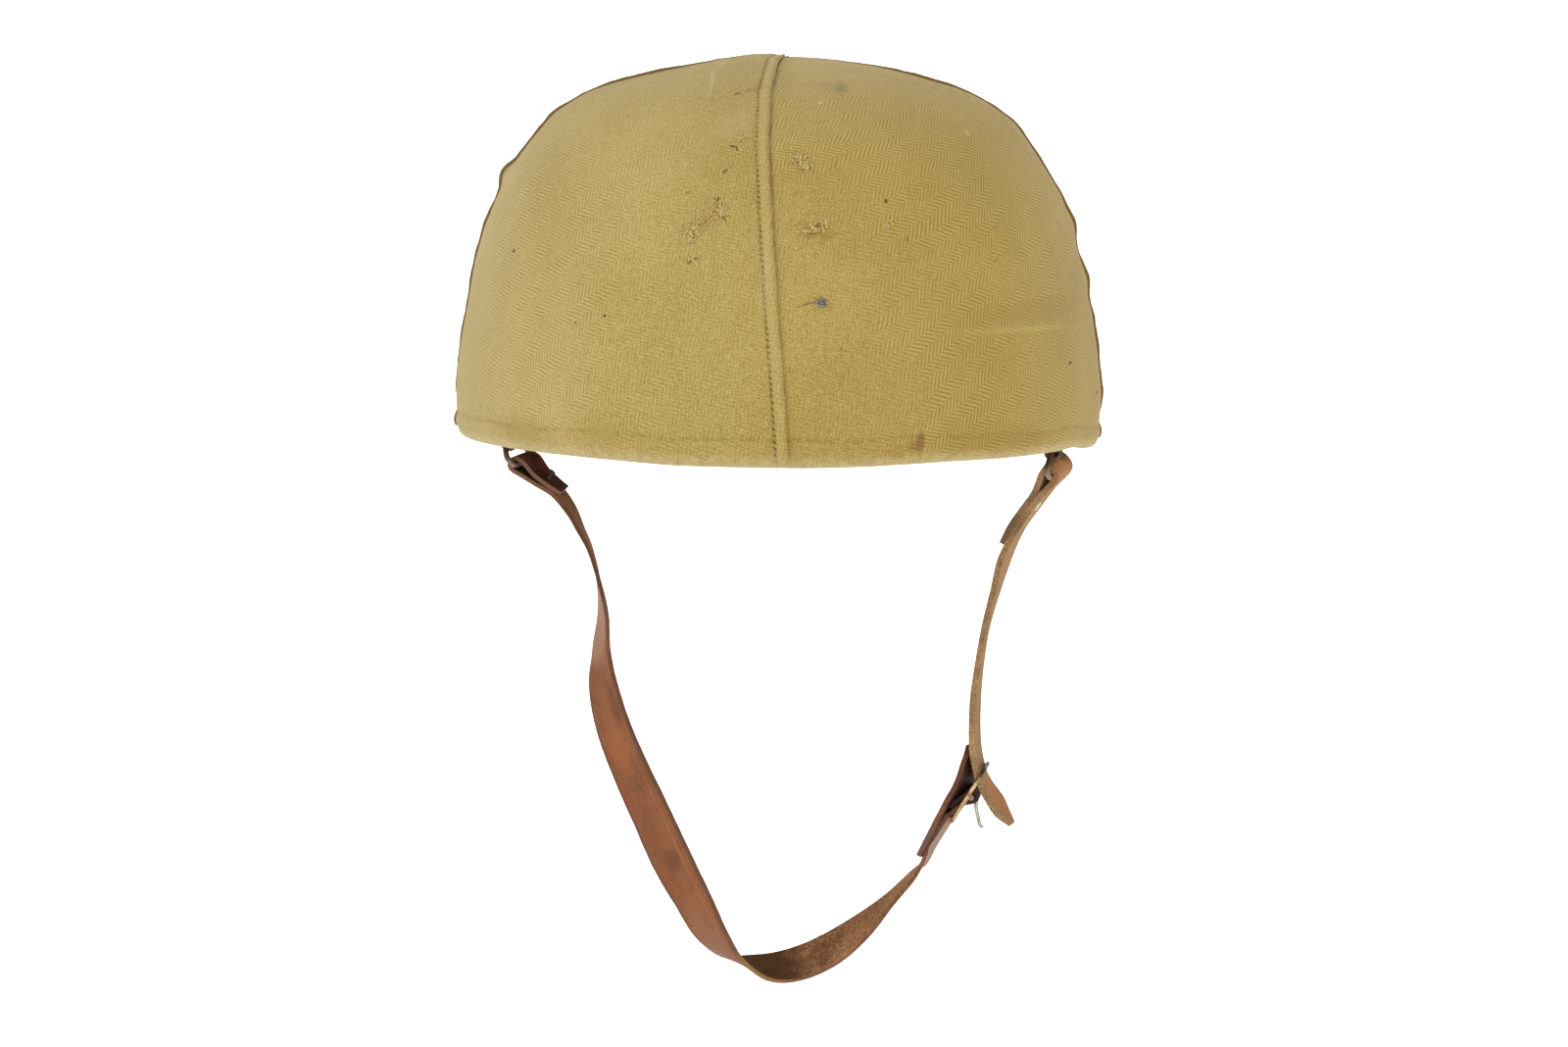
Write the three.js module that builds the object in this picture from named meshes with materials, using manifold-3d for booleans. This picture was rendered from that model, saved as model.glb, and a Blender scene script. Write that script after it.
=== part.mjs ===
// Riding helmet: a stiff hollow shell under a cloth cover of four panels, with a leather chin strap.
// Millimetres, +Z up. The front faces -Y. The origin is the top of the hollow, where a head's crown sits.
// Inside the helmet group, heights are measured up from the rim.

import * as THREE from "three";
import { mergeVertices } from "three/addons/utils/BufferGeometryUtils.js";
import Module from "manifold-3d";

const wasm = await Module();
wasm.setup();

// Cover and shell
const clothThickness = 1.5;
const shellThickness = 8.7;
const gap = 0.3;
const ease = 1.2; // how loosely the cloth lies on the shell
const shellInset = clothThickness + ease;
const hollowInset = shellInset + shellThickness;
const planRoundness = 2.2; // 2 is an ellipse, more is fuller at the corners
const crownHeight = 145;

// Half sizes of the dome from the centre, at each height above the rim
const sections = [
  { height: 8, side: 121.0, front: 140, rear: 144 },
  { height: 20, side: 121.2, front: 140, rear: 144 },
  { height: 35, side: 119.6, front: 138.5, rear: 143 },
  { height: 50, side: 117.0, front: 136, rear: 141 },
  { height: 65, side: 114.0, front: 132.5, rear: 138 },
  { height: 80, side: 110.3, front: 128, rear: 133.5 },
  { height: 92, side: 105.8, front: 122.5, rear: 128 },
  { height: 104, side: 99.3, front: 114.5, rear: 120 },
  { height: 115, side: 91.2, front: 104.5, rear: 110 },
  { height: 123, side: 83.2, front: 94.5, rear: 100 },
  { height: 130, side: 73.0, front: 82, rear: 87.5 },
  { height: 135, side: 61.0, front: 68, rear: 73 },
  { height: 139.5, side: 45.0, front: 50, rear: 54 },
  { height: 143, side: 24.5, front: 27, rear: 29.5 },
  { height: crownHeight, side: 0, front: 0, rear: 0 },
];

// The cloth turned in under the rim, from its inner end outwards. Inset is from the outer face of the
// cover, and facing is the way its bare face looks: 0 outwards, -90 down, -180 into the hollow.
const hemRows = [
  { inset: hollowInset + ease + clothThickness, height: 13, facing: -180 },
  { inset: hollowInset + ease + clothThickness, height: 5, facing: -180 },
  { inset: hollowInset + 1.4, height: 1.6, facing: -135 },
  { inset: hollowInset - 1.6, height: 0, facing: -90 },
  { inset: 5.0, height: 0, facing: -90 },
  { inset: 1.6, height: 1.6, facing: -45 },
  { inset: 0.1, height: 5.2, facing: -10 },
];

// Lower edge of the shell
const shellRimHeight = clothThickness + gap;
const shellRimOuter = 5.6;
const shellRimInner = 8.4;
const shellRimBevelTop = 6;

// The front centre seam wanders from the middle as it climbs
const seamWander = [
  { height: 0, x: 4.3 },
  { height: 19, x: 2.6 },
  { height: 49, x: -0.3 },
  { height: 86, x: -3.4 },
  { height: 110, x: -5.0 },
  { height: 128, x: -4.8 },
  { height: 141, x: -2.0 },
  { height: crownHeight, x: 0 },
];
const lapWidth = 4.3;
const lapHeight = 0.9;
const lapRamp = 0.8;

// The side seam stands up as a thin double flange
const flangeWidth = 1.4;
const flangeHeight = 1.1;
const flangeRamp = 0.7;

// Puckers where the side seam bunches the cloth
const puckers = [
  { side: -1, height: 121, lift: 0.9, reach: 4 },
  { side: -1, height: 98, lift: 2.3, reach: 4 },
  { side: -1, height: 77, lift: 0.9, reach: 5 },
  { side: -1, height: 11.5, lift: -0.9, reach: 3.5 },
  { side: -1, height: 4, lift: 0.8, reach: 4 },
  { side: 1, height: 120, lift: 0.8, reach: 4 },
  { side: 1, height: 86, lift: 1.0, reach: 4 },
  { side: 1, height: 64, lift: 1.0, reach: 5 },
  { side: 1, height: 24, lift: 0.7, reach: 8 },
  { side: 1, height: 10, lift: -0.9, reach: 3.5 },
  { side: 1, height: 4, lift: 0.6, reach: 4 },
];
const puckerWidth = 12;

// Straps
const strapWidth = 16;
const strapThickness = 2;
const ringsPerRow = 2;

// Lugs and bails. Each fold of a strap hangs from the lower bar of its bail.
const wireRadius = 1;
const eyeHeight = -2.9;
const eyeRadius = 3.6;
const eyeHole = 2.1;
const eyeWidth = 3;
const lugThickness = 1.6;
const footWidth = 12;
const footBottom = 14.2;
const footTop = 29;
const footLean = 1.2; // the wall leans in as it climbs
const bailTopWidth = 9;
const bailBottomWidth = 19.7;
const bailCorner = 1.6;
const bailUpright = 3.7; // its sides stand square past the fold before they draw in
const bailJoint = 0.4;
const sides = {
  left: {
    sign: -1,
    eye: 101.5,
    bar: { x: -95.7, z: -10.8 },
    rear: { x: 6.4, z: 0.6 },
  },
  right: {
    sign: 1,
    eye: 104.5,
    bar: { x: 105.7, z: -11.2 },
    rear: { x: 5.5, z: 1.5 },
  },
};

// Buckle. Along runs up the frame from its centre bar, out runs away from the chin.
const buckleCentre = { x: 77, z: -134.1 };
const buckleLean = 30.5; // degrees from upright, towards the right
const buckleYaw = 7; // degrees, its rear rail stands to the right
const buckleLength = 25.6;
const buckleWidth = 23;
const railWidth = 2.3;
const railThickness = 2.2;
const railBevel = 0.4;
const frameCorner = 4;
const barRadius = 1.1;
const prongRadius = 0.65;
const prongEye = 2.05;
const prongLength = 13.2;
const prongAngle = 14; // degrees from straight down, towards the right
const prongSlot = 4.6;

const studRadius = 1.2;
const studHole = 1.6;
const studHead = 2.6;
const studHeadThickness = 0.8;
const studLean = 33.7; // degrees from upright, square to the folded tab
const studGrip = 6.0; // both layers and a little play

const materials = {
  shell: { color: 0x8a7a5c, roughness: 0.9, metalness: 0 },
  cloth: { color: 0xc4b06f, roughness: 0.95, metalness: 0 },
  brownLeather: { color: 0x94603f, roughness: 0.6, metalness: 0 },
  tanLeather: { color: 0xa07a4c, roughness: 0.7, metalness: 0 },
  wire: { color: 0x6b5d4f, roughness: 0.5, metalness: 0.8 },
  brass: { color: 0xa48a5c, roughness: 0.45, metalness: 0.8 },
  steel: { color: 0xb9b6ab, roughness: 0.35, metalness: 0.9 },
};

const degrees = THREE.MathUtils.degToRad;

// Helpers for solids

function faceOutwards(geometry) {
  const p = geometry.attributes.position;
  const index = geometry.index;
  const a = new THREE.Vector3();
  const b = new THREE.Vector3();
  const c = new THREE.Vector3();
  let volume = 0;
  for (let i = 0; i < index.count; i += 3) {
    a.fromBufferAttribute(p, index.getX(i));
    b.fromBufferAttribute(p, index.getX(i + 1));
    c.fromBufferAttribute(p, index.getX(i + 2));
    volume += a.dot(b.cross(c));
  }
  if (volume < 0) {
    const order = index.array;
    for (let i = 0; i < order.length; i += 3) {
      [order[i + 1], order[i + 2]] = [order[i + 2], order[i + 1]];
    }
  }
  geometry.computeVertexNormals();
  return geometry;
}

function fromFaces(points, faces) {
  const geometry = new THREE.BufferGeometry().setFromPoints(points);
  geometry.setIndex(faces);
  return faceOutwards(geometry);
}

// A closed solid skinned over rings of points, whose first and last rings close on a point or a flat end
function skinRings(rings) {
  const sides = Math.max(...rings.map((ring) => ring.length));
  const points = [];
  const starts = [];
  const faces = [];
  for (const ring of rings) {
    starts.push(points.length);
    points.push(...ring);
  }
  const at = (row, side) =>
    starts[row] + (rings[row].length === 1 ? 0 : side % sides);
  for (let row = 0; row + 1 < rings.length; row++) {
    for (let side = 0; side < sides; side++) {
      const a = at(row, side);
      const b = at(row, side + 1);
      const c = at(row + 1, side + 1);
      const d = at(row + 1, side);
      if (a !== b) faces.push(a, b, c);
      if (c !== d) faces.push(a, c, d);
    }
  }
  for (const row of [0, rings.length - 1]) {
    for (let side = 1; side + 1 < rings[row].length; side++) {
      const fan = [at(row, 0), at(row, side), at(row, side + 1)];
      faces.push(...(row === 0 ? fan.reverse() : fan));
    }
  }
  return fromFaces(points, faces);
}

// A closed wall between two matching grids of points. The last row of each grid is a single point.
function skinWall(face, back) {
  const points = [];
  const faces = [];
  const starts = [face, back].map((grid) =>
    grid.map((row) => {
      const start = points.length;
      points.push(...row);
      return start;
    }),
  );
  const rows = face.length;
  const columns = face[0].length;
  const at = (skin, row, column) =>
    starts[skin][row] + (row === rows - 1 ? 0 : column);
  for (let row = 0; row + 1 < rows; row++) {
    for (let column = 0; column + 1 < columns; column++) {
      for (const skin of [0, 1]) {
        const a = at(skin, row, column);
        const b = at(skin, row, column + 1);
        const c = at(skin, row + 1, column + 1);
        const d = at(skin, row + 1, column);
        faces.push(...(skin === 0 ? [a, b, c] : [a, c, b]));
        if (c !== d) faces.push(...(skin === 0 ? [a, c, d] : [a, d, c]));
      }
    }
    for (const column of [0, columns - 1]) {
      const a = at(0, row, column);
      const b = at(1, row, column);
      const c = at(1, row + 1, column);
      const d = at(0, row + 1, column);
      faces.push(...(column === 0 ? [a, d, c, a, c, b] : [a, b, c, a, c, d]));
    }
  }
  for (let column = 0; column + 1 < columns; column++) {
    const a = at(0, 0, column);
    const b = at(0, 0, column + 1);
    const c = at(1, 0, column + 1);
    const d = at(1, 0, column);
    faces.push(a, d, c, a, c, b);
  }
  return fromFaces(points, faces);
}

function toSolid(geometry) {
  const bare = geometry.clone();
  bare.deleteAttribute("normal");
  bare.deleteAttribute("uv");
  const merged = mergeVertices(bare, 1e-4);
  return new wasm.Manifold(
    new wasm.Mesh({
      numProp: 3,
      vertProperties: merged.attributes.position.array,
      triVerts: new Uint32Array(merged.index.array),
    }),
  );
}

function toGeometry(solid) {
  const mesh = solid.getMesh();
  const geometry = new THREE.BufferGeometry();
  geometry.setAttribute(
    "position",
    new THREE.BufferAttribute(new Float32Array(mesh.vertProperties), 3),
  );
  geometry.setIndex(Array.from(mesh.triVerts));
  geometry.computeVertexNormals();
  return geometry;
}

// Reads a table of rows at a height
function readTable(table, column, height) {
  const above = table.findIndex((row) => row.height >= height);
  if (above === 0) return table[0][column];
  if (above < 0) return table[table.length - 1][column];
  const low = table[above - 1];
  const high = table[above];
  const mix = (height - low.height) / (high.height - low.height);
  return THREE.MathUtils.lerp(low[column], high[column], mix);
}

// The dome

const domeCurves = {};
for (const end of ["front", "rear"]) {
  domeCurves[end] = new THREE.CatmullRomCurve3(
    sections.map((row) => new THREE.Vector3(row.side, row[end], row.height)),
    false,
    "catmullrom",
    0.5,
  );
}

// Climb runs from 0 at the hem to 1 at the crown. Turn is the angle round the dome, 0 at the right
// side, -90 at the front.
function domePoint(turn, climb) {
  const angle = degrees(turn);
  const end = Math.sin(angle) < 0 ? "front" : "rear";
  const half = domeCurves[end].getPoint(climb);
  const power = 2 / planRoundness;
  const c = Math.cos(angle);
  const s = Math.sin(angle);
  return new THREE.Vector3(
    half.x * Math.sign(c) * Math.abs(c) ** power,
    half.y * Math.sign(s) * Math.abs(s) ** power,
    half.z,
  );
}

function domeNormal(turn, climb) {
  if (climb > 0.999) return new THREE.Vector3(0, 0, 1);
  const step = 0.6;
  const rise = 0.004;
  const across = domePoint(turn + step, climb).sub(domePoint(turn - step, climb));
  const low = Math.max(climb - rise, 0);
  const high = Math.min(climb + rise, 1);
  const up = domePoint(turn, high).sub(domePoint(turn, low));
  return across.cross(up).normalize();
}

// A point of the dome, set in by a wall's depth
function insetPoint(turn, climb, inset) {
  return domePoint(turn, climb).addScaledVector(domeNormal(turn, climb), -inset);
}

function rimPoint(turn, inset, height) {
  const level = domeNormal(turn, 0).setZ(0).normalize();
  return domePoint(turn, 0).addScaledVector(level, -inset).setZ(height);
}

function makeShell() {
  const segments = 32;
  const climbs = [0, 0.1, 0.2, 0.3, 0.4, 0.5, 0.6, 0.7, 0.8, 0.89, 0.95];
  const ring = (place) =>
    Array.from({ length: segments }, (_, i) => place((360 * i) / segments));
  const crown = (inset) => [new THREE.Vector3(0, 0, crownHeight - inset)];
  const outside = climbs.map((climb) =>
    ring((turn) => insetPoint(turn, climb, shellInset)),
  );
  const inside = climbs.map((climb) =>
    ring((turn) => insetPoint(turn, climb, hollowInset)),
  );
  return skinRings([
    crown(shellInset),
    ...outside.reverse(),
    ring((turn) => rimPoint(turn, shellRimOuter, shellRimHeight)),
    ring((turn) => rimPoint(turn, shellRimInner, shellRimHeight)),
    ring((turn) => rimPoint(turn, hollowInset, shellRimBevelTop)),
    ...inside,
    crown(hollowInset),
  ]);
}

// The cover

// The angle round the dome at which it has a given x, on its front or rear half
function turnAtX(x, climb, back) {
  const half = domeCurves[back ? "rear" : "front"].getPoint(climb).x;
  const c = Math.sign(x) * Math.min(Math.abs(x) / Math.max(half, 1e-6), 1) ** (planRoundness / 2);
  const angle = THREE.MathUtils.radToDeg(Math.acos(c));
  return back ? angle : -angle;
}

// Distances from the centre seam, and from the side seam, at which a panel has its columns
const lapColumns = [0, lapWidth, lapWidth + lapRamp];
const flangeColumns = [6, flangeWidth + flangeRamp, flangeWidth, 0];
const plainColumns = 7;
const panelClimbs = [
  0, 0.022, 0.05, 0.09, 0.15, 0.21, 0.28, 0.33, 0.385, 0.43,
  0.464, 0.5, 0.55, 0.6, 0.65, 0.71, 0.77, 0.84, 0.92, 1,
];
const rowSamples = 48;
const narrowRow = 45; // a row shorter than this has its seams drawn in with it
const lowestRaised = -20; // the hem lies flat where it faces lower than this

function puckerLift(side, height, fromSideSeam) {
  let lift = 0;
  for (const pucker of puckers) {
    if (pucker.side !== side) continue;
    const up = (height - pucker.height) / pucker.reach;
    const across = fromSideSeam / puckerWidth;
    lift += pucker.lift * Math.exp(-up * up - across * across);
  }
  return lift;
}

function makePanel(side, back) {
  const rows = [
    ...hemRows.map((hem) => ({ climb: 0, hem })),
    ...panelClimbs.map((climb) => ({ climb })),
  ];
  const face = [];
  const reverse = [];
  for (const { climb, hem } of rows) {
    const height = hem ? hem.height : domePoint(0, climb).z;
    const facing = degrees(hem ? hem.facing : 0);
    const sideTurn = side > 0 ? 0 : 180;
    const seamX = back ? 0 : readTable(seamWander, "x", height);
    const from = climb === 1 ? 90 : turnAtX(seamX, climb, back);
    const to = back || side > 0 ? sideTurn : -sideTurn;

    // Arc length along the row, from the centre seam to the side seam
    const lengths = [0];
    for (let i = 1; i <= rowSamples; i++) {
      const a = domePoint(THREE.MathUtils.lerp(from, to, (i - 1) / rowSamples), climb);
      const b = domePoint(THREE.MathUtils.lerp(from, to, i / rowSamples), climb);
      lengths.push(lengths[i - 1] + a.distanceTo(b));
    }
    const total = lengths[rowSamples];
    const shrink = Math.min(1, total / narrowRow);
    const turnAt = (distance) => {
      const i = Math.max(1, lengths.findIndex((length) => length >= distance - 1e-9));
      const mix = (distance - lengths[i - 1]) / (lengths[i] - lengths[i - 1]);
      return THREE.MathUtils.lerp(from, to, (i - 1 + mix) / rowSamples);
    };

    const distances = lapColumns.map((d) => d * shrink);
    const first = distances.at(-1);
    const last = total - flangeColumns[0] * shrink;
    for (let i = 1; i < plainColumns; i++) {
      distances.push(THREE.MathUtils.lerp(first, last, i / plainColumns));
    }
    distances.push(...flangeColumns.map((d) => total - d * shrink));

    const outer = [];
    const inner = [];
    for (const distance of climb === 1 ? [0] : distances) {
      const turn = climb === 1 ? 90 : turnAt(Math.min(distance, total));
      const normal = domeNormal(turn, climb);
      const fromSide = total - distance;
      let lift = 0;
      if (side < 0 && distance < (lapWidth + 0.1) * shrink) lift += lapHeight;
      if (fromSide < (flangeWidth + 0.1) * shrink) lift += flangeHeight;
      if (hem && hem.facing < lowestRaised) lift = 0;
      lift *= shrink;
      if (climb < 1 && (!hem || hem.facing > lowestRaised)) lift += puckerLift(side, height, fromSide);
      let point;
      let out = normal;
      if (hem) {
        const level = normal.clone().setZ(0).normalize();
        out = level.multiplyScalar(Math.cos(facing));
        out.z = Math.sin(facing);
        point = rimPoint(turn, hem.inset, hem.height);
      } else {
        point = domePoint(turn, climb);
      }
      inner.push(point.clone().addScaledVector(out, -clothThickness));
      outer.push(point.clone().addScaledVector(out, lift));
    }
    face.push(outer);
    reverse.push(inner);
  }
  const geometry = skinWall(face, reverse);
  geometry.translate((side * gap) / 2, ((back ? 1 : -1) * gap) / 2, 0);
  return geometry;
}

// Straps

// Rows give the middle of the strap, how far the rear edge stands to the right of and above the front
// edge over the strap's full width, and the width where it isn't the full one.
function ribbon(rows) {
  const middle = new THREE.CatmullRomCurve3(
    rows.map((row) => new THREE.Vector3(row.x, row.y ?? 0, row.z)),
    false,
    "catmullrom",
    0.5,
  );
  const spread = new THREE.CatmullRomCurve3(
    rows.map(({ rearX, rearZ, width = strapWidth }) =>
      new THREE.Vector3(rearX / strapWidth, rearZ / strapWidth, width),
    ),
    false,
    "catmullrom",
    0.5,
  );
  const count = (rows.length - 1) * ringsPerRow;
  const rings = [];
  for (let i = 0; i <= count; i++) {
    const t = i / count;
    const centre = middle.getPoint(t);
    const along = middle.getTangent(t);
    const lean = spread.getPoint(t);
    const back = new THREE.Vector3(lean.x, 0, lean.y);
    back.y = Math.sqrt(1 - back.lengthSq());
    back.addScaledVector(along, -back.dot(along)).normalize();
    const out = along.clone().cross(back).normalize();
    const w = lean.z / 2;
    const h = strapThickness / 2;
    rings.push(
      [
        [-w, -h],
        [w, -h],
        [w, h],
        [-w, h],
      ].map(([b, o]) => centre.clone().addScaledVector(back, b).addScaledVector(out, o)),
    );
  }
  return skinRings(rings);
}

// A place beside the buckle, from its centre bar
const buckleUp = new THREE.Vector3(Math.sin(degrees(buckleLean)), 0, Math.cos(degrees(buckleLean)));
const buckleOut = new THREE.Vector3(buckleUp.z, 0, -buckleUp.x);

function atBuckle(along, out) {
  return {
    x: buckleCentre.x + buckleUp.x * along + buckleOut.x * out,
    z: buckleCentre.z + buckleUp.z * along + buckleOut.z * out,
  };
}

function around(bar, angle, radius) {
  return {
    x: bar.x + radius * Math.cos(degrees(angle)),
    z: bar.z + radius * Math.sin(degrees(angle)),
  };
}

// Near a fold the strap runs square to its bar, so going sideways carries it forward or back
function squareTo(bar, rear, rows) {
  const depth = Math.sqrt(strapWidth ** 2 - rear.x ** 2 - rear.z ** 2);
  return rows.map((row) => ({
    ...row,
    y: -((row.x - bar.x) * rear.x + (row.z - bar.z) * rear.z) / depth,
    rearX: rear.x,
    rearZ: rear.z,
  }));
}

const foldRadius = wireRadius + gap + strapThickness / 2;
const barFold = barRadius + gap + strapThickness / 2;
const buckleRear = { x: strapWidth * Math.sin(degrees(buckleYaw)), z: 0 };

const longStrapRows = [
  // Tab, turned back over the left bail
  ...squareTo(sides.left.bar, sides.left.rear, [
    { x: -78.6, z: -21.2 },
    { x: -83.2, z: -17.6 },
    { x: -88.2, z: -13.9 },
    { x: -92.4, z: -9.9 },
    around(sides.left.bar, 95, foldRadius),
    around(sides.left.bar, 165, foldRadius),
    around(sides.left.bar, 235, foldRadius),
    { x: -93.6, z: -14.6 },
    { x: -88.8, z: -17.3 },
    { x: -82.6, z: -21.6 },
  ]),
  // Down the left, where it turns its outer face to the front
  { x: -77.3, z: -28.6, y: -7.2, rearX: 3.0, rearZ: 0.6 },
  { x: -74.0, z: -35.5, y: -8.0, rearX: 1.0, rearZ: 0 },
  { x: -70.8, z: -43.0, y: -8.6, rearX: 0.2, rearZ: 0 },
  { x: -67.2, z: -54.0, y: -10, rearX: -0.8, rearZ: 0 },
  { x: -65.0, z: -66.5, y: -13, rearX: -2.2, rearZ: 0 },
  { x: -64.8, z: -80.0, y: -17, rearX: -5.6, rearZ: 0 },
  { x: -63.5, z: -93.0, y: -21, rearX: -9.4, rearZ: -1.5 },
  { x: -58.8, z: -108.5, y: -25, rearX: -11.4, rearZ: -3.6 },
  { x: -51.8, z: -124.5, y: -28, rearX: -12.0, rearZ: -4.9 },
  { x: -44.0, z: -140.5, y: -30, rearX: -12.6, rearZ: -5.3 },
  { x: -36.0, z: -156.5, y: -31, rearX: -13.0, rearZ: -5.8 },
  { x: -28.2, z: -171.0, y: -30, rearX: -10.6, rearZ: -5.8 },
  { x: -21.0, z: -184.5, y: -28, rearX: -7.4, rearZ: -4.6 },
  // The bottom, where its inner face comes round to the front
  { x: -13.0, z: -194.0, y: -23, rearX: -4.6, rearZ: -1.5 },
  { x: -2.0, z: -199.0, y: -17, rearX: -4.4, rearZ: 5.0 },
  { x: 10.0, z: -198.8, y: -12, rearX: -4.6, rearZ: 8.8 },
  { x: 22.5, z: -194.2, y: -8, rearX: -5.4, rearZ: 8.8 },
  { x: 34.5, z: -186.0, y: -4, rearX: -5.0, rearZ: 6.6 },
  { x: 45.5, z: -175.5, y: -1, rearX: -3.0, rearZ: 3.2 },
  { x: 54.0, z: -166.5, y: 1, rearX: -0.6, rearZ: 1.0 },
  { ...atBuckle(-33, -2.2), y: 1.8, rearX: 1.0, rearZ: 0.2 },
  // Behind the lower rail, through the window, round the centre bar, and back
  ...squareTo(buckleCentre, buckleRear, [
    atBuckle(-26, -2.5),
    atBuckle(-19, -2.65),
    atBuckle(-12.5, -2.6),
    atBuckle(-9.4, -2.35),
    atBuckle(-6.0, -0.4),
    atBuckle(-2.2, barFold - 0.5),
    atBuckle(0, barFold),
    atBuckle(barFold * 0.72, barFold * 0.72),
    atBuckle(barFold, 0),
    atBuckle(barFold * 0.72, -barFold * 0.72),
    atBuckle(0, -barFold),
    atBuckle(-4, -3.6),
    atBuckle(-10.5, -4.95),
  ]),
];

const shortStrapRows = [
  // Pointed tip, hanging out of the upper window
  { x: 92.4, z: -145.2, rearX: 4.0, rearZ: 0.5, width: 2.5 },
  { x: 90.6, z: -143.0, rearX: 4.0, rearZ: 0.5, width: 8 },
  { x: 88.0, z: -139.8, rearX: 4.0, rearZ: 0.5, width: 14.5 },
  { x: 85.8, z: -136.8, rearX: 3.8, rearZ: 0.4 },
  { x: 82.9, z: -132.4, rearX: 3.2, rearZ: 0.2 },
  { x: 80.5, z: -128.0, rearX: 2.6, rearZ: 0 },
  { x: 79.2, z: -123.0, rearX: 2.4, rearZ: 0 },
  { x: 78.1, z: -115.5, y: 0.4, rearX: 2.4, rearZ: 0 },
  { x: 77.3, z: -106.0, y: 1.0, rearX: 2.2, rearZ: 0 },
  { x: 77.2, z: -96.0, y: 1.8, rearX: 1.9, rearZ: 0 },
  { x: 78.2, z: -84.0, y: 2.9, rearX: 1.8, rearZ: 0 },
  { x: 80.1, z: -70.5, y: 4.1, rearX: 2.0, rearZ: 0 },
  { x: 83.3, z: -56.0, y: 5.1, rearX: 2.4, rearZ: 0 },
  { x: 87.2, z: -44.0, y: 5.7, rearX: 2.6, rearZ: 0.3 },
  { x: 92.0, z: -33.2, y: 5.5, rearX: 3.2, rearZ: 0.8 },
  { x: 97.3, z: -25.0, y: 4.4, rearX: 4.2, rearZ: 1.2 },
  // Fold over the right bail
  ...squareTo(sides.right.bar, sides.right.rear, [
    { x: 103.0, z: -17.8 },
    around(sides.right.bar, -35, foldRadius),
    around(sides.right.bar, 30, foldRadius),
    around(sides.right.bar, 95, foldRadius),
    around(sides.right.bar, 165, foldRadius),
    { x: 102.0, z: -14.6 },
    { x: 99.0, z: -18.4 },
  ]),
  { x: 94.4, z: -24.3, y: 5.0, rearX: 4.2, rearZ: 1.2 },
  { x: 89.4, z: -32.2, y: 6.2, rearX: 3.2, rearZ: 0.8 },
  { x: 87.0, z: -36.6, y: 6.6, rearX: 2.9, rearZ: 0.6 },
];

const backingRows = squareTo(buckleCentre, buckleRear, [
  { ...atBuckle(-31, -4.8), width: 15.5 },
  { ...atBuckle(-24.5, -5.15), width: 17 },
  { ...atBuckle(-18, -5.5), width: 18 },
  { ...atBuckle(-13, -6.9), width: 18 },
  { ...atBuckle(-9, -7.3), width: 18 },
  { ...atBuckle(-4, -7.4), width: 18 },
  { ...atBuckle(1, -7.6), width: 17.5 },
  { ...atBuckle(6, -8.4), width: 15.5 },
  { ...atBuckle(10.5, -9.6), width: 11 },
  { ...atBuckle(13.5, -10.7), width: 6 },
  { ...atBuckle(15.2, -11.4), width: 2 },
]);

// A box along the buckle, between two places along it and two out from it
function buckleBox(fromAlong, toAlong, fromOut, toOut, width) {
  const box = new THREE.BoxGeometry(toOut - fromOut, width, toAlong - fromAlong);
  box.translate((fromOut + toOut) / 2, 0, (fromAlong + toAlong) / 2);
  return box.applyMatrix4(bucklePlacement);
}

const bucklePlacement = new THREE.Matrix4()
  .makeTranslation(buckleCentre.x, 0, buckleCentre.z)
  .multiply(new THREE.Matrix4().makeRotationZ(-degrees(buckleYaw)))
  .multiply(new THREE.Matrix4().makeRotationY(degrees(buckleLean)));

function studPlacement() {
  const [place] = squareTo(sides.left.bar, sides.left.rear, [{ x: -86.4, z: -17.2 }]);
  return new THREE.Matrix4()
    .makeTranslation(place.x, place.y, place.z)
    .multiply(new THREE.Matrix4().makeRotationZ(-Math.asin(sides.left.rear.x / strapWidth)))
    .multiply(new THREE.Matrix4().makeRotationY(degrees(studLean)));
}

function makeLongStrap() {
  const strap = toSolid(ribbon(longStrapRows));
  const slotTop = toSolid(buckleBox(-3.4, 4.2, -3.9, 5, prongSlot));
  const slotBelow = toSolid(buckleBox(-8.8, -3.3, -1.8, 5, prongSlot));
  const hole = new THREE.CylinderGeometry(studHole, studHole, 14, 12);
  hole.rotateX(Math.PI / 2).applyMatrix4(studPlacement());
  return toGeometry(strap.subtract(slotTop).subtract(slotBelow).subtract(toSolid(hole)));
}

// A rivet through both layers of the fold, with a low head on each face
function makeStud() {
  const half = studGrip / 2;
  const top = half + studHeadThickness;
  const profile = [
    [0, -top],
    [studHead - 0.6, -top],
    [studHead, -half - 0.2],
    [studHead, -half],
    [studRadius, -half],
    [studRadius, half],
    [studHead, half],
    [studHead, half + 0.2],
    [studHead - 0.6, top],
    [0, top],
  ].map(([x, y]) => new THREE.Vector2(x, y));
  const stud = new THREE.LatheGeometry(profile, 12);
  return stud.rotateX(Math.PI / 2).applyMatrix4(studPlacement());
}

// Metal

function tube(points, radius, steps, sideCount = 8) {
  const path = new THREE.CatmullRomCurve3(points, false, "centripetal");
  const section = new THREE.Shape();
  for (let i = 0; i < sideCount; i++) {
    const angle = (2 * Math.PI * (i + 0.5)) / sideCount;
    const x = radius * Math.cos(angle);
    const y = radius * Math.sin(angle);
    if (i === 0) section.moveTo(x, y);
    else section.lineTo(x, y);
  }
  section.closePath();
  return new THREE.ExtrudeGeometry(section, { steps, extrudePath: path, bevelEnabled: false });
}

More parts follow.
